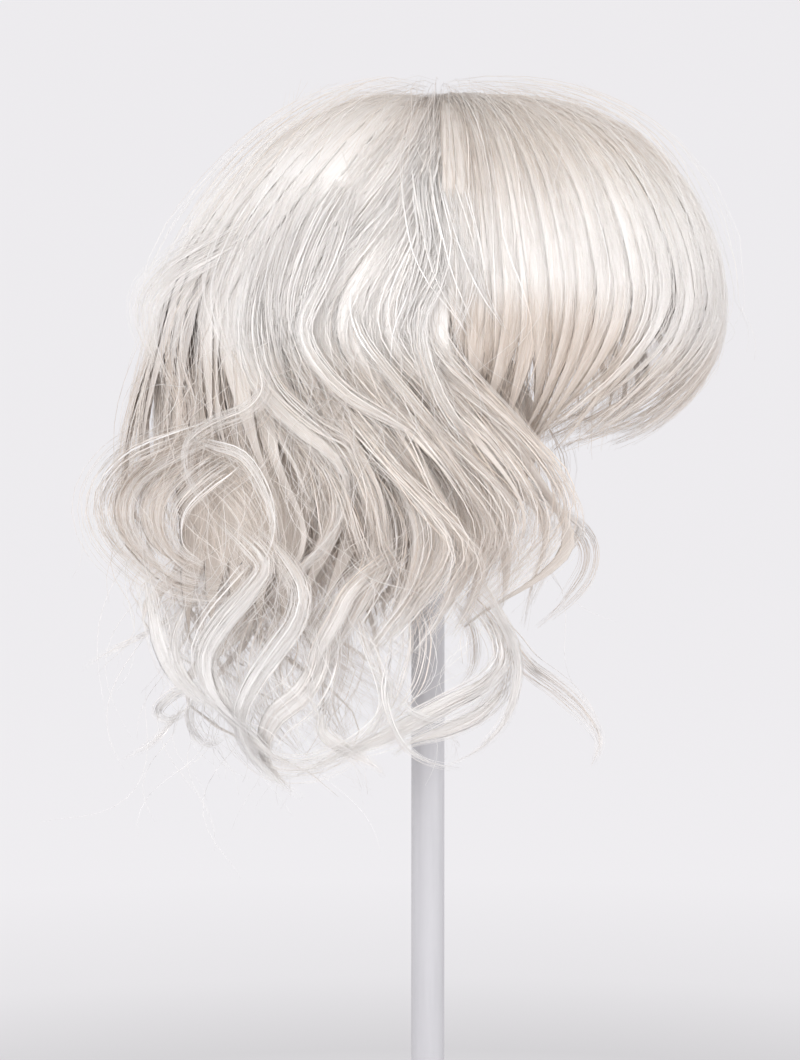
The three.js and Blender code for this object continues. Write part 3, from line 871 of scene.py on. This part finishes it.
# long locks, in rows of these sizes
columns = ("around", "drop", "belly", "tuck", "wave", "pitch", "lean", "curl", "turn", "share")
layers = {
    "top": {
        "inset": 6, "root": 3, "dive": 5, "narrowing": 0.34, "thickness": 2.4, "shortest": 0.85, "loose": 2.0,
        "bodyEnds": 0.88, "bodyWidth": 0.85, "begins": 0.1, "tilt": 0.25, "layered": 0.3,
        "sweep": 26, "sweepFrom": 2, "sweepTo": 92,
    },
    "low": {
        "inset": 24, "root": 52, "dive": 4, "narrowing": 0.45, "thickness": 11, "shortest": 0.85,
        "loose": 1.6, "bodyEnds": 0.92, "bodyWidth": 0.9, "tilt": 0.4, "layered": 0.4,
    },
    "inner": {
        "inset": 40, "root": 64, "dive": 0, "narrowing": 0.45, "thickness": 11, "shortest": 0.85,
        "loose": 1.8, "bodyEnds": 0.9, "bodyWidth": 0.9, "tilt": 0.4, "layered": 0.5,
    },
}
sideRows = {
    "top": [
        (81, 226, -2, 10, 25, 178, 26, 6, 200, 16),
        (96, 236, 2, 12, 23, 180, 20, 8, 80, 17),
        (112, 244, 6, 14, 21, 178, 12, 9, 300, 18),
    ],
    "low": [
        (78, 246, -8, 36, 20, 160, 22, 9, 30, 17),
        (96, 256, -4, 40, 22, 156, 14, 11, 160, 18),
        (114, 276, 2, 36, 20, 152, 6, 12, 280, 18),
    ],
    "inner": [
        (87, 240, -4, 22, 16, 140, 12, 9, 240, 19),
        (106, 256, -4, 26, 16, 140, 6, 10, 60, 19),
    ],
}
backRows = {
    "top": [
        (130, 250, 8, 12, 17, 174, 6, 10, 140, 19),
        (147, 246, 8, 10, 15, 170, 0, 11, 20, 16),
        (164, 250, 14, 6, 14, 170, -2, 12, 250, 16),
    ],
    "low": [
        (132, 314, 6, 42, 18, 150, 2, 13, 340, 18),
        (149, 306, 10, 32, 18, 150, 0, 13, 210, 16),
        (166, 290, 14, 18, 16, 146, -2, 13, 90, 16),
    ],
    "inner": [(143, 302, 2, 30, 14, 140, 2, 10, 120, 22)],
}
middleRows = {
    "top": [(180, 256, 14, 6, 12, 170, 0, 13, 170, 15)],
    "low": [(182, 284, 14, 16, 14, 146, 0, 12, 310, 16)],
}
leftSetBack = 46
sweptFrom = (68, 112)  # degrees from the front
# how finer locks differ: the spread of what is added, or the limits of a factor
finer = {
    "inset": 0.8, "drop": 8, "wave": (0.7, 1.2), "pitch": (0.93, 1.07), "late": 9, "lean": 5,
    "curl": (0.8, 1.3),
}


def locksOf(rows, mirror=False, setBack=0, lowDensity=1.0):
    locks = []
    for layer, row in ((layer, row) for layer, some in rows.items() for row in some):
        density = 1.0 if layer == "top" else lowDensity
        lock = {**layers[layer], **dict(zip(columns, row)), "density": density}
        if mirror:
            lock["around"] = 360 - lock["around"]
            lock["lean"] -= setBack
        locks.append(lock)
    return locks


def fineLocks(lock, count, rng):
    # shares a lock out among finer ones that differ a little; those on top sweep back from the front
    for place in (np.arange(count) + 0.5) / count * 2 - 1:
        fine = {**lock, "late": place * 5, "spread": 26}
        aroundNow = lock["around"] + place * lock["share"] / 2 * 1.05
        fromFront = min(aroundNow, 360 - aroundNow)
        back = lock.get("sweep", 0) * math.sin(math.radians(aroundNow)) * smoothStep(fromFront, *sweptFrom)
        fine["around"] = aroundNow - back
        fine["sweep"] = back
        fine["share"] = lock["share"] / count * 3
        for key, change in finer.items():
            if isinstance(change, tuple):
                fine[key] *= rng.uniform(*change)
            else:
                fine[key] += rng.normal(0, change)
        fine["turn"] += rng.uniform(-40, 40)
        fine["curlPitch"] = rng.uniform(80, 105)
        yield fine


# curls that fill out the lower half, drawn at random within these limits
filler = {
    "inset": (8, 40), "drop": (235, 318), "belly": (-4, 12), "tuck": (8, 40), "wave": (16, 26),
    "pitch": (128, 165), "lean": (-4, 14), "curl": (4, 10), "turn": (0, 360), "share": (9, 15),
    "curlPitch": (78, 100), "late": (-20, 20), "spread": (24, 48),
}


def fillers(count, fromAngle, toAngle, setBack, rng):
    for around in rng.uniform(fromAngle, toAngle, count):
        lock = {**layers["low"], "around": around, "density": 1.0}
        for key, (low, high) in filler.items():
            lock[key] = rng.uniform(low, high)
        lock["lean"] -= setBack
        lock["root"] = 40 + lock["inset"] * 0.6
        yield lock


panelStrips = 0.14  # share of the strands
bodySteps = (9, 18)
bodiesEach = 3
panels = {
    "right_hair": {
        "locks": locksOf(sideRows, lowDensity=0.25),
        "strands": 1380, "pieces": 1, "steps": (4, 14), "fine": 5, "seed": 21, "fillers": (0, 72, 124, 0),
    },
    "left_hair": {
        "locks": locksOf(sideRows, True, leftSetBack),
        "strands": 840, "pieces": 1, "steps": (4, 12), "fine": 4, "seed": 22,
        "fillers": (12, 236, 288, leftSetBack),
    },
    "back_hair": {
        "locks": locksOf(backRows) + locksOf(backRows, True) + locksOf(middleRows),
        "strands": 1400, "pieces": 2, "steps": (4, 14), "fine": 4, "seed": 23, "fillers": (36, 124, 236, 0),
    },
}


def makePanel(node, panel):
    rng = np.random.default_rng(panel["seed"])
    locks = [fine for lock in panel["locks"] for fine in fineLocks(lock, panel["fine"], rng)]
    locks += list(fillers(*panel["fillers"], rng))
    total = sum(lock["share"] * lock["density"] for lock in locks)
    strands, bodies = [], []
    for lock in panel["locks"]:
        for fine in fineLocks(lock, bodiesEach, rng):
            ends = fine["bodyEnds"] * rng.uniform(0.8, 1.06)
            bodies.append(bodyRings({**fine, "inset": lock["inset"], "bodyEnds": ends}, bodySteps))
    for lock in locks:
        each = max(2, round(panel["strands"] * lock["share"] * lock["density"] / total))
        strands.append(strandPaths(lock, each, panel["steps"], rng))
    paths, tones = joined(strands)
    for number, some in enumerate(np.array_split(np.arange(len(paths)), panel["pieces"])):
        name = node + "Strands" + "AB"[number]
        wearStrands(name, (paths[some], tones[some]), node, rng, panelStrips)
    wearBodies(node + "Body", bodies, node)


for node, panel in panels.items():
    makePanel(node, panel)


# ribbons of hair on the side that the photograph shows, by their places in the picture
visible = {
    "rows": (92, 130, 200, 300, 400, 450, 510, 600, 700, 760, 800),
    "middle": (440, 450, 452, 435, 404, 358, 342, 342, 338, 360, 355),
    "half": (60, 190, 253, 300, 286, 250, 248, 212, 195, 135, 95),
    "depth": (20, 62, 96, 110, 112, 112, 110, 101, 82, 68, 58),  # how far the hair comes towards the camera
}
# each ribbon: width in pixels, strands, millimetres off the hair's surface, and its line
rightRibbons = {
    "sOne": (18, 60, 5, [
        (442, 120), (433, 165), (437, 200), (447, 240), (440, 280), (423, 310), (420, 340), (432, 380),
        (455, 420), (482, 448), (520, 480), (560, 510), (585, 530), (572, 546), (546, 572), (530, 606),
    ]),
    "sOneInner": (22, 46, -3, [
        (470, 250), (458, 300), (450, 340), (448, 380), (454, 412), (474, 446), (508, 478), (540, 510),
        (545, 545), (532, 585), (522, 630),
    ]),
    "sTwo": (20, 54, 4, [
        (376, 145), (352, 195), (335, 250), (318, 290), (303, 320), (306, 346), (326, 376), (352, 399),
        (392, 421), (432, 446), (452, 480), (448, 520),
    ]),
    "sTwoLow": (20, 46, 2, [
        (362, 270), (352, 300), (360, 335), (384, 368), (410, 398), (440, 436), (470, 480), (488, 530),
        (486, 575),
    ]),
    "sThree": (22, 56, 4, [
        (296, 190), (264, 238), (246, 290), (241, 330), (250, 370), (270, 401), (302, 431), (334, 457),
        (348, 490), (336, 530), (310, 560), (296, 590),
    ]),
    "partOne": (30, 46, 3, [(450, 100), (455, 150), (464, 200), (470, 250), (464, 300), (452, 340)]),
    "partTwo": (24, 34, 4, [
        (438, 98), (427, 140), (420, 190), (425, 240), (412, 290), (396, 330), (394, 366),
    ]),
    "upLeftOne": (52, 64, 1, [(330, 150), (298, 200), (278, 250), (268, 300), (274, 350), (292, 396)]),
    "upLeftTwo": (48, 58, 0, [(300, 150), (258, 196), (228, 244), (214, 290), (222, 336), (240, 372)]),
    "upLeftThree": (48, 58, 1, [(362, 150), (324, 210), (302, 260), (290, 310), (300, 356), (322, 396)]),
    "sheetOne": (44, 80, 0, [
        (330, 400), (372, 440), (410, 490), (425, 540), (412, 590), (385, 630), (360, 664),
    ]),
    "sheetTwo": (40, 76, -2, [
        (296, 396), (338, 448), (371, 500), (380, 550), (362, 600), (340, 640), (322, 676),
    ]),
    "sheetThree": (40, 70, -3, [(396, 416), (438, 468), (462, 520), (466, 560), (450, 600), (424, 642)]),
    "sheetFour": (32, 54, -4, [(440, 430), (478, 480), (500, 530), (506, 575), (498, 614)]),
    "sheet": (46, 70, 0, [
        (318, 330), (342, 384), (382, 432), (420, 476), (440, 516), (442, 556), (424, 596), (398, 630),
        (372, 656),
    ]),
    "sheetLow": (34, 44, -4, [(390, 440), (440, 480), (470, 520), (480, 560), (472, 600), (450, 636)]),
    "arcIn": (24, 40, 1, [(290, 430), (328, 470), (338, 512), (324, 548), (292, 574), (268, 600)]),
    "centreLow": (30, 44, 1, [
        (424, 534), (384, 562), (350, 590), (334, 620), (318, 650), (309, 690), (322, 724),
    ]),
    "brightShort": (12, 24, 5, [(474, 548), (456, 580), (446, 604), (430, 632), (414, 654)]),
    "gapRight": (14, 26, 2, [(352, 600), (366, 640), (382, 680), (386, 708), (366, 738), (330, 757)]),
    "ringOuter": (12, 48, 6, [
        (470, 560), (489, 592), (500, 616), (513, 642), (518, 668), (513, 700), (500, 727), (476, 751),
        (446, 766),
    ]),
    "ringBand": (30, 76, 2, [
        (478, 600), (500, 634), (503, 660), (484, 684), (450, 703), (414, 722), (378, 740), (336, 757),
        (296, 776),
    ]),
    "ringBandLow": (24, 40, 0, [(506, 660), (502, 690), (480, 714), (446, 730), (412, 742), (392, 756)]),
    "ringInner": (9, 24, 7, [(392, 650), (384, 690), (392, 724), (408, 750), (432, 764), (462, 770)]),
    "ringAcross": (6, 14, 6, [(396, 690), (408, 709), (430, 720), (456, 722)]),
    "partThree": (40, 30, 5, [(420, 104), (424, 160), (432, 220), (444, 280), (472, 334)]),
    "partFour": (40, 30, 4, [(432, 106), (446, 170), (462, 230), (482, 290), (508, 336)]),
    "ringFill": (38, 36, -8, [(446, 580), (488, 618), (504, 660), (486, 702), (440, 738)]),
    "postVeil": (40, 26, -4, [(398, 590), (410, 640), (398, 692), (378, 732)]),
    "ringBack": (22, 26, -34, [(452, 596), (474, 628), (476, 664), (458, 690)]),
    "rightWisp": (20, 46, -10, [(496, 618), (522, 662), (556, 688), (582, 712), (600, 740), (592, 768)]),
    "tipLoops": (26, 26, -6, [(560, 505), (590, 540), (590, 572), (568, 602), (536, 628)]),
}
# wide plain ribbons side by side, behind the rest, each along this line; their low lift darkens them as
# painted shade
underSheets = {
    "right_hair": {
        "across": (300, 470, 24), "width": 66, "lift": -16,
        "line": [(10, 230), (-6, 290), (-4, 350), (18, 410), (34, 470), (30, 530), (6, 590), (-14, 640)],
    },
    "back_hair": {
        "across": (180, 300, 24), "width": 66, "lift": -26,
        "line": [(10, 350), (-6, 400), (4, 440), (14, 480), (18, 530), (8, 590), (10, 650)],
    },
}
# ribbons too thin to have a body
bare = (
    "tipLoops", "rightWisp", "ringInner", "ringAcross", "ringBack", "brightShort", "gapRight",
    "leftBulge", "leftFallIn", "smallCurl", "smallHook", "tailOne", "wispOne", "arcOver", "endOne",
    "endTwo", "endThree", "upLeftOne", "upLeftTwo", "upLeftThree", "partOne", "partTwo", "sThreeBack",
    "crossing", "rollOuter", "rollMiddle", "rollInner", "bottomArc", "lowVeil", "lowVeilLeft",
    "ringFill", "postVeil", "partThree", "partFour", "rollCore",
)
fringeRibbons = {
    "endOne": (16, 26, -20, [(716, 306), (704, 350), (680, 386), (644, 414), (600, 434), (556, 448)]),
    "endTwo": (20, 30, -16, [(690, 318), (672, 362), (640, 394), (600, 418), (560, 434), (528, 446)]),
    "endThree": (14, 20, -12, [(650, 330), (624, 372), (590, 402), (552, 424), (520, 438)]),
}
backRibbons = {
    "rollOuter": (42, 66, 2, [
        (226, 420), (180, 438), (130, 461), (104, 494), (106, 526), (132, 560), (170, 590), (214, 600),
        (256, 592),
    ]),
    "rollFill": (44, 60, -6, [(226, 436), (176, 464), (152, 506), (164, 548), (206, 574)]),
    "rollFillOut": (34, 44, -10, [(196, 436), (150, 468), (124, 506), (138, 548), (176, 584)]),
    "rollMiddle": (46, 60, 5, [
        (230, 440), (186, 458), (146, 484), (134, 516), (150, 552), (186, 578), (226, 584),
    ]),
    "rollInner": (38, 44, 6, [(246, 452), (206, 478), (176, 510), (178, 546), (206, 566)]),
    "arcOver": (12, 30, 10, [(186, 436), (212, 446), (242, 458), (264, 492), (273, 530), (264, 566)]),
    "brightOne": (34, 60, 9, [
        (214, 514), (246, 540), (266, 566), (248, 594), (222, 624), (204, 656), (210, 690), (236, 722),
        (262, 742),
    ]),
    "brightTwo": (26, 60, 8, [
        (250, 520), (282, 556), (302, 590), (297, 622), (276, 652), (254, 682), (240, 716), (247, 748),
        (272, 778), (304, 798),
    ]),
    "leftBand": (22, 44, 6, [(142, 560), (150, 604), (160, 648), (180, 686), (216, 712)]),
    "leftBandInner": (16, 34, 6, [(190, 596), (174, 640), (186, 680), (216, 708), (238, 730)]),
    "leftFall": (24, 36, 4, [(206, 600), (204, 650), (216, 690), (240, 726), (274, 756), (306, 770)]),
    "smallCurl": (12, 30, 4, [(206, 684), (176, 694), (158, 711), (170, 720), (192, 708)]),
    "smallHook": (11, 28, 4, [(202, 686), (188, 712), (194, 734), (208, 745), (230, 734)]),
    "tailOne": (7, 12, 0, [(188, 700), (170, 724), (150, 744), (122, 758)]),
    "wispOne": (8, 12, 0, [(190, 606), (150, 632), (112, 651), (82, 669)]),
    "leftBulge": (40, 80, 0, [(270, 210), (214, 244), (170, 272), (146, 304), (150, 346), (170, 384)]),
    "leftFallIn": (28, 44, -6, [
        (240, 240), (200, 280), (176, 320), (172, 364), (186, 410), (172, 448), (140, 476),
    ]),
    "crossing": (20, 36, 9, [
        (250, 340), (266, 384), (250, 410), (212, 426), (188, 446), (190, 480), (206, 506),
    ]),
    "sThreeBack": (26, 44, 2, [(262, 290), (262, 340), (276, 384), (312, 420), (352, 446), (366, 486)]),
    "bottomMass": (40, 56, 0, [(300, 600), (318, 650), (304, 690), (272, 720), (264, 756), (292, 792)]),
    "bottomTip": (20, 30, 2, [(330, 690), (322, 730), (346, 750), (372, 764), (386, 776)]),
    "rollCore": (40, 40, -4, [(196, 462), (236, 490), (260, 528), (256, 566), (232, 600)]),
    "bottomArc": (30, 40, 2, [
        (222, 690), (238, 730), (268, 764), (310, 768), (350, 750), (382, 716), (390, 676),
    ]),
    "lowVeil": (70, 46, -18, [(330, 590), (342, 650), (332, 700), (346, 742)]),
    "lowVeilLeft": (60, 40, -12, [(284, 600), (262, 660), (272, 712), (304, 756)]),
}


def towardsCamera(px, py):
    # how far the hair's surface lies towards the camera at a place in the picture
    keys = "middle", "half", "depth"
    middle, half, depth = (np.interp(py, visible["rows"], visible[key]) for key in keys)
    return depth * np.sqrt(np.clip(1 - ((px - middle) / half) ** 2, 0.06, 1))


def inPicture(px, py, lift):
    # points that the camera shows at these pixels, this many millimetres off the hair's surface
    turn = math.radians(shot["azimuth"])
    right = np.array((math.cos(turn), math.sin(turn), 0))
    back = np.array(towards(shot["azimuth"], shot["elevation"]))
    level = np.array((math.sin(turn), -math.cos(turn), 0))
    up = np.cross(back, right)
    eye = (right * shot["aside"] + np.array((0, 0, shot["height"])) + back * shot["distance"]) / mm
    wide, tall = picture
    focal = shot["lens"] / shot["sensor"] * tall
    ray = right * ((px - wide / 2) / focal)[..., None] - up * ((py - tall / 2) / focal)[..., None] - back
    reach = (towardsCamera(px, py) + lift - eye @ level) / (ray @ level)
    return eye + ray * reach[..., None]


def smoothLine(points, steps):
    # an even run of places on a smooth curve through the points
    points = np.array(points, dtype=float)
    padded = np.concatenate([[2 * points[0] - points[1]], points, [2 * points[-1] - points[-2]]])
    fine = []
    for before, start, end, after in zip(padded, padded[1:], padded[2:], padded[3:]):
        t = np.linspace(0, 1, 12, endpoint=False)[:, None]
        square = 2 * before - 5 * start + 4 * end - after
        cube = 3 * start - before - 3 * end + after
        fine.append(0.5 * (2 * start + (end - before) * t + square * t ** 2 + cube * t ** 3))
    fine = np.concatenate(fine + [points[-1:]])
    along = np.concatenate([[0], np.cumsum(np.hypot(*np.diff(fine, axis=0).T))])
    even = np.linspace(0, along[-1], steps)
    return np.stack([np.interp(even, along, side) for side in fine.T], axis=-1), along[-1]


def slopeOf(line):
    slope = np.gradient(line, axis=0)
    return slope / (np.linalg.norm(slope, axis=1, keepdims=True) + 1e-9)


# how a ribbon's strands and its flat body lie; lengths in millimetres
ribbonLook = {
    "strips": 0.15,
    "points": 16,
    "bodyPoints": 22,
    "linePoints": 120,
    "begins": 0.24,
    "shorter": 0.32,
    "across": 0.5,
    "farthest": 1.4,
    "rates": (0.6, 1.6),
    "waveLength": 260,
    "buried": 12,
    "strayShare": 0.08,
    "strayTimes": 3,
    "bodyWidth": 0.3,
    "bodyThick": 1.2,
    "bodyBelow": 1.6,
    "toneLifts": (-10, -28),  # painted light: deeper ribbons darker, lifted ones lighter; strands and bodies grow no darker below these lifts
    "liftPerTone": 36,
    "strandTone": 0.64,
    # painted shade: ribbon bodies start a little darker than their strands
    "bodyTone": 0.6,
    "toneSpread": 0.16,
}


def ribbonPaths(ribbon, steps, rng):
    width, count, lift, points = ribbon
    line, length = smoothLine(points, ribbonLook["linePoints"])
    begins = rng.uniform(0, ribbonLook["begins"], count)[:, None]
    ends = 1 - ribbonLook["shorter"] * rng.random(count)[:, None] ** 1.6
    share = begins + np.linspace(0, 1, steps)[None, :] * (ends - begins)
    place = np.linspace(0, 1, ribbonLook["linePoints"])
    values = *line.T, *slopeOf(line).T
    px, py, sx, sy = (np.interp(share.ravel(), place, value).reshape(share.shape) for value in values)
    across = rng.normal(0, ribbonLook["across"], count)
    across = np.clip(across, -ribbonLook["farthest"], ribbonLook["farthest"])[:, None]
    profile = (0.55 + 0.45 * smoothStep(share, 0, 0.2)) * (1 - 0.8 * smoothStep(share, 0.55, 1))
    stray = np.where(rng.random(count) < ribbonLook["strayShare"], ribbonLook["strayTimes"], 1)[:, None]
    phase = rng.uniform(0, math.tau, (2, count))[:, :, None]
    rate = rng.uniform(*ribbonLook["rates"], (2, count))[:, :, None] * length / ribbonLook["waveLength"]
    wander = [np.sin(phase[i] + math.tau * rate[i] * share) for i in range(2)]
    aside = across * width / 2 * profile + stray * 1.6 * (0.3 + share) * wander[0]
    layer = rng.uniform(-1, 1, count)[:, None] * 1.2 + stray * 0.9 * wander[1]
    buried = ribbonLook["buried"] * (1 - smoothStep(share - begins, 0, 0.12))
    # painted light: a lower lift darkens a ribbon's strands and a higher one lightens them
    darkest = ribbonLook["toneLifts"][0]
    tones = ribbonLook["strandTone"] + max(lift, darkest) / ribbonLook["liftPerTone"]
    tones = tones + rng.normal(0, ribbonLook["toneSpread"], (count, 1)) + 0 * share
    return inPicture(px - sy * aside, py + sx * aside, lift + layer - buried), tones


def ribbonBody(ribbon, steps, sides=8):
    # a thin flat body just under a ribbon's strands
    width, _, lift, points = ribbon
    line, _ = smoothLine(points, steps + 4)
    line, slope = line[3:-1], slopeOf(line)[3:-1]
    share = np.linspace(0, 1, steps)[:, None]
    turn = np.arange(sides)[None, :] * math.tau / sides
    thin = (0.04 + 0.96 * smoothStep(share, 0, 0.4)) * (1 - 0.96 * smoothStep(share, 0.5, 1))
    aside = ribbonLook["bodyWidth"] * width * thin * np.cos(turn)
    layer = -ribbonLook["bodyThick"] * thin * np.sin(turn) - ribbonLook["bodyBelow"]
    layer = layer - 10 * (1 - smoothStep(share, 0, 0.3))
    # painted light: a lower lift darkens a ribbon's body and a higher one lightens it
    darkest = ribbonLook["toneLifts"][1]
    tones = ribbonLook["bodyTone"] + max(lift, darkest) / ribbonLook["liftPerTone"] + 0 * share.T
    px, py = line[:, :1] - slope[:, 1:] * aside, line[:, 1:] + slope[:, :1] * aside
    return inPicture(px, py, lift + layer)[None], tones


def sheetRibbons(sheet):
    for px in range(*sheet["across"]):
        yield sheet["width"], 0, sheet["lift"], [(px + aside, py) for aside, py in sheet["line"]]


def makeRibbons(node, ribbons, seed):
    rng = np.random.default_rng(seed)
    name = node + "Ribbons"
    strands = joined([ribbonPaths(ribbon, ribbonLook["points"], rng) for ribbon in ribbons.values()])
    wearStrands(name, strands, node, rng, ribbonLook["strips"])
    full = [ribbon for key, ribbon in ribbons.items() if key not in bare]
    if node in underSheets:
        full += sheetRibbons(underSheets[node])
    if full:
        bodies = [ribbonBody(ribbon, ribbonLook["bodyPoints"]) for ribbon in full]
        wearBodies(name + "Body", bodies, node)


# fine hairs that wander over the locks, begun within these boxes of the picture
frizz = {
    "right_hair": {"count": 170, "box": (250, 300, 490, 600), "seed": 51},
    "back_hair": {"count": 150, "box": (150, 300, 300, 680), "seed": 52},
}
frizzLook = {"points": 15, "lengths": (110, 230), "lifts": (-2, 9), "fine": (0.18, 0.34)}


def makeFrizz(node, some):
    rng = np.random.default_rng(some["seed"])
    count, steps = some["count"], frizzLook["points"]
    left, top, right, bottom = some["box"]
    along = np.linspace(0, 1, steps)[None, :]
    start = rng.uniform((left, top), (right, bottom), (count, 2))
    bend = rng.uniform(0.4, 0.9, (count, 1))
    bends = rng.uniform(0.5, 1.4, (count, 1)) * along + rng.random((count, 1))
    heading = rng.normal(math.pi / 2, 0.35, (count, 1)) + bend * np.sin(math.tau * bends)
    stride = rng.uniform(*frizzLook["lengths"], (count, 1)) / steps
    px = start[:, :1] + np.cumsum(np.cos(heading) * stride, axis=1)
    py = start[:, 1:] + np.cumsum(np.sin(heading) * stride, axis=1)
    lift = rng.uniform(*frizzLook["lifts"], (count, 1)) - 12 * (1 - smoothStep(along, 0, 0.15))
    strands = inPicture(px, py, lift), rng.normal(0.75, 0.16, (count, 1)) + 0 * px
    wearStrands(node + "Frizz", strands, node, rng, 0, frizzLook["fine"])


# loose hairs that stand off the rest
looseHairs = {
    "count": 230,
    "steps": (7, 8),
    "fine": (0.18, 0.28),
    "frontDrop": (112, 150),
    "lock": {"dive": 0, "narrowing": 0, "thickness": 1, "share": 2, "shortest": 0.35, "layered": 0},
    "limits": {
        "inset": (-4, 4), "root": (3, 70), "drop": (112, 250), "belly": (-4, 10), "tuck": (-4, 20),
        "wave": (3, 14), "pitch": (120, 190), "late": (-40, 40), "lean": (-16, 24), "curl": (0, 10),
        "turn": (0, 360), "curlPitch": (60, 100), "loose": (2, 6),
    },
}


def makeLooseHairs(loose):
    rng = np.random.default_rng(41)
    strands = []
    for around in rng.uniform(0, 360, loose["count"]):
        lock = {**loose["lock"], "around": around}
        for key, limits in loose["limits"].items():
            lock[key] = rng.uniform(*limits)
        if math.cos(math.radians(around)) > 0.3:
            lock["drop"] = rng.uniform(*loose["frontDrop"])
        strands.append(strandPaths(lock, 1, loose["steps"], rng))
    wearStrands("looseHairs", joined(strands), "back_hair", rng, 0, loose["fine"])


makeLooseHairs(looseHairs)
makeRibbons("right_hair", rightRibbons, 31)
makeRibbons("back_hair", backRibbons, 32)
makeRibbons("fringe", fringeRibbons, 33)
for node, some in frizz.items():
    makeFrizz(node, some)
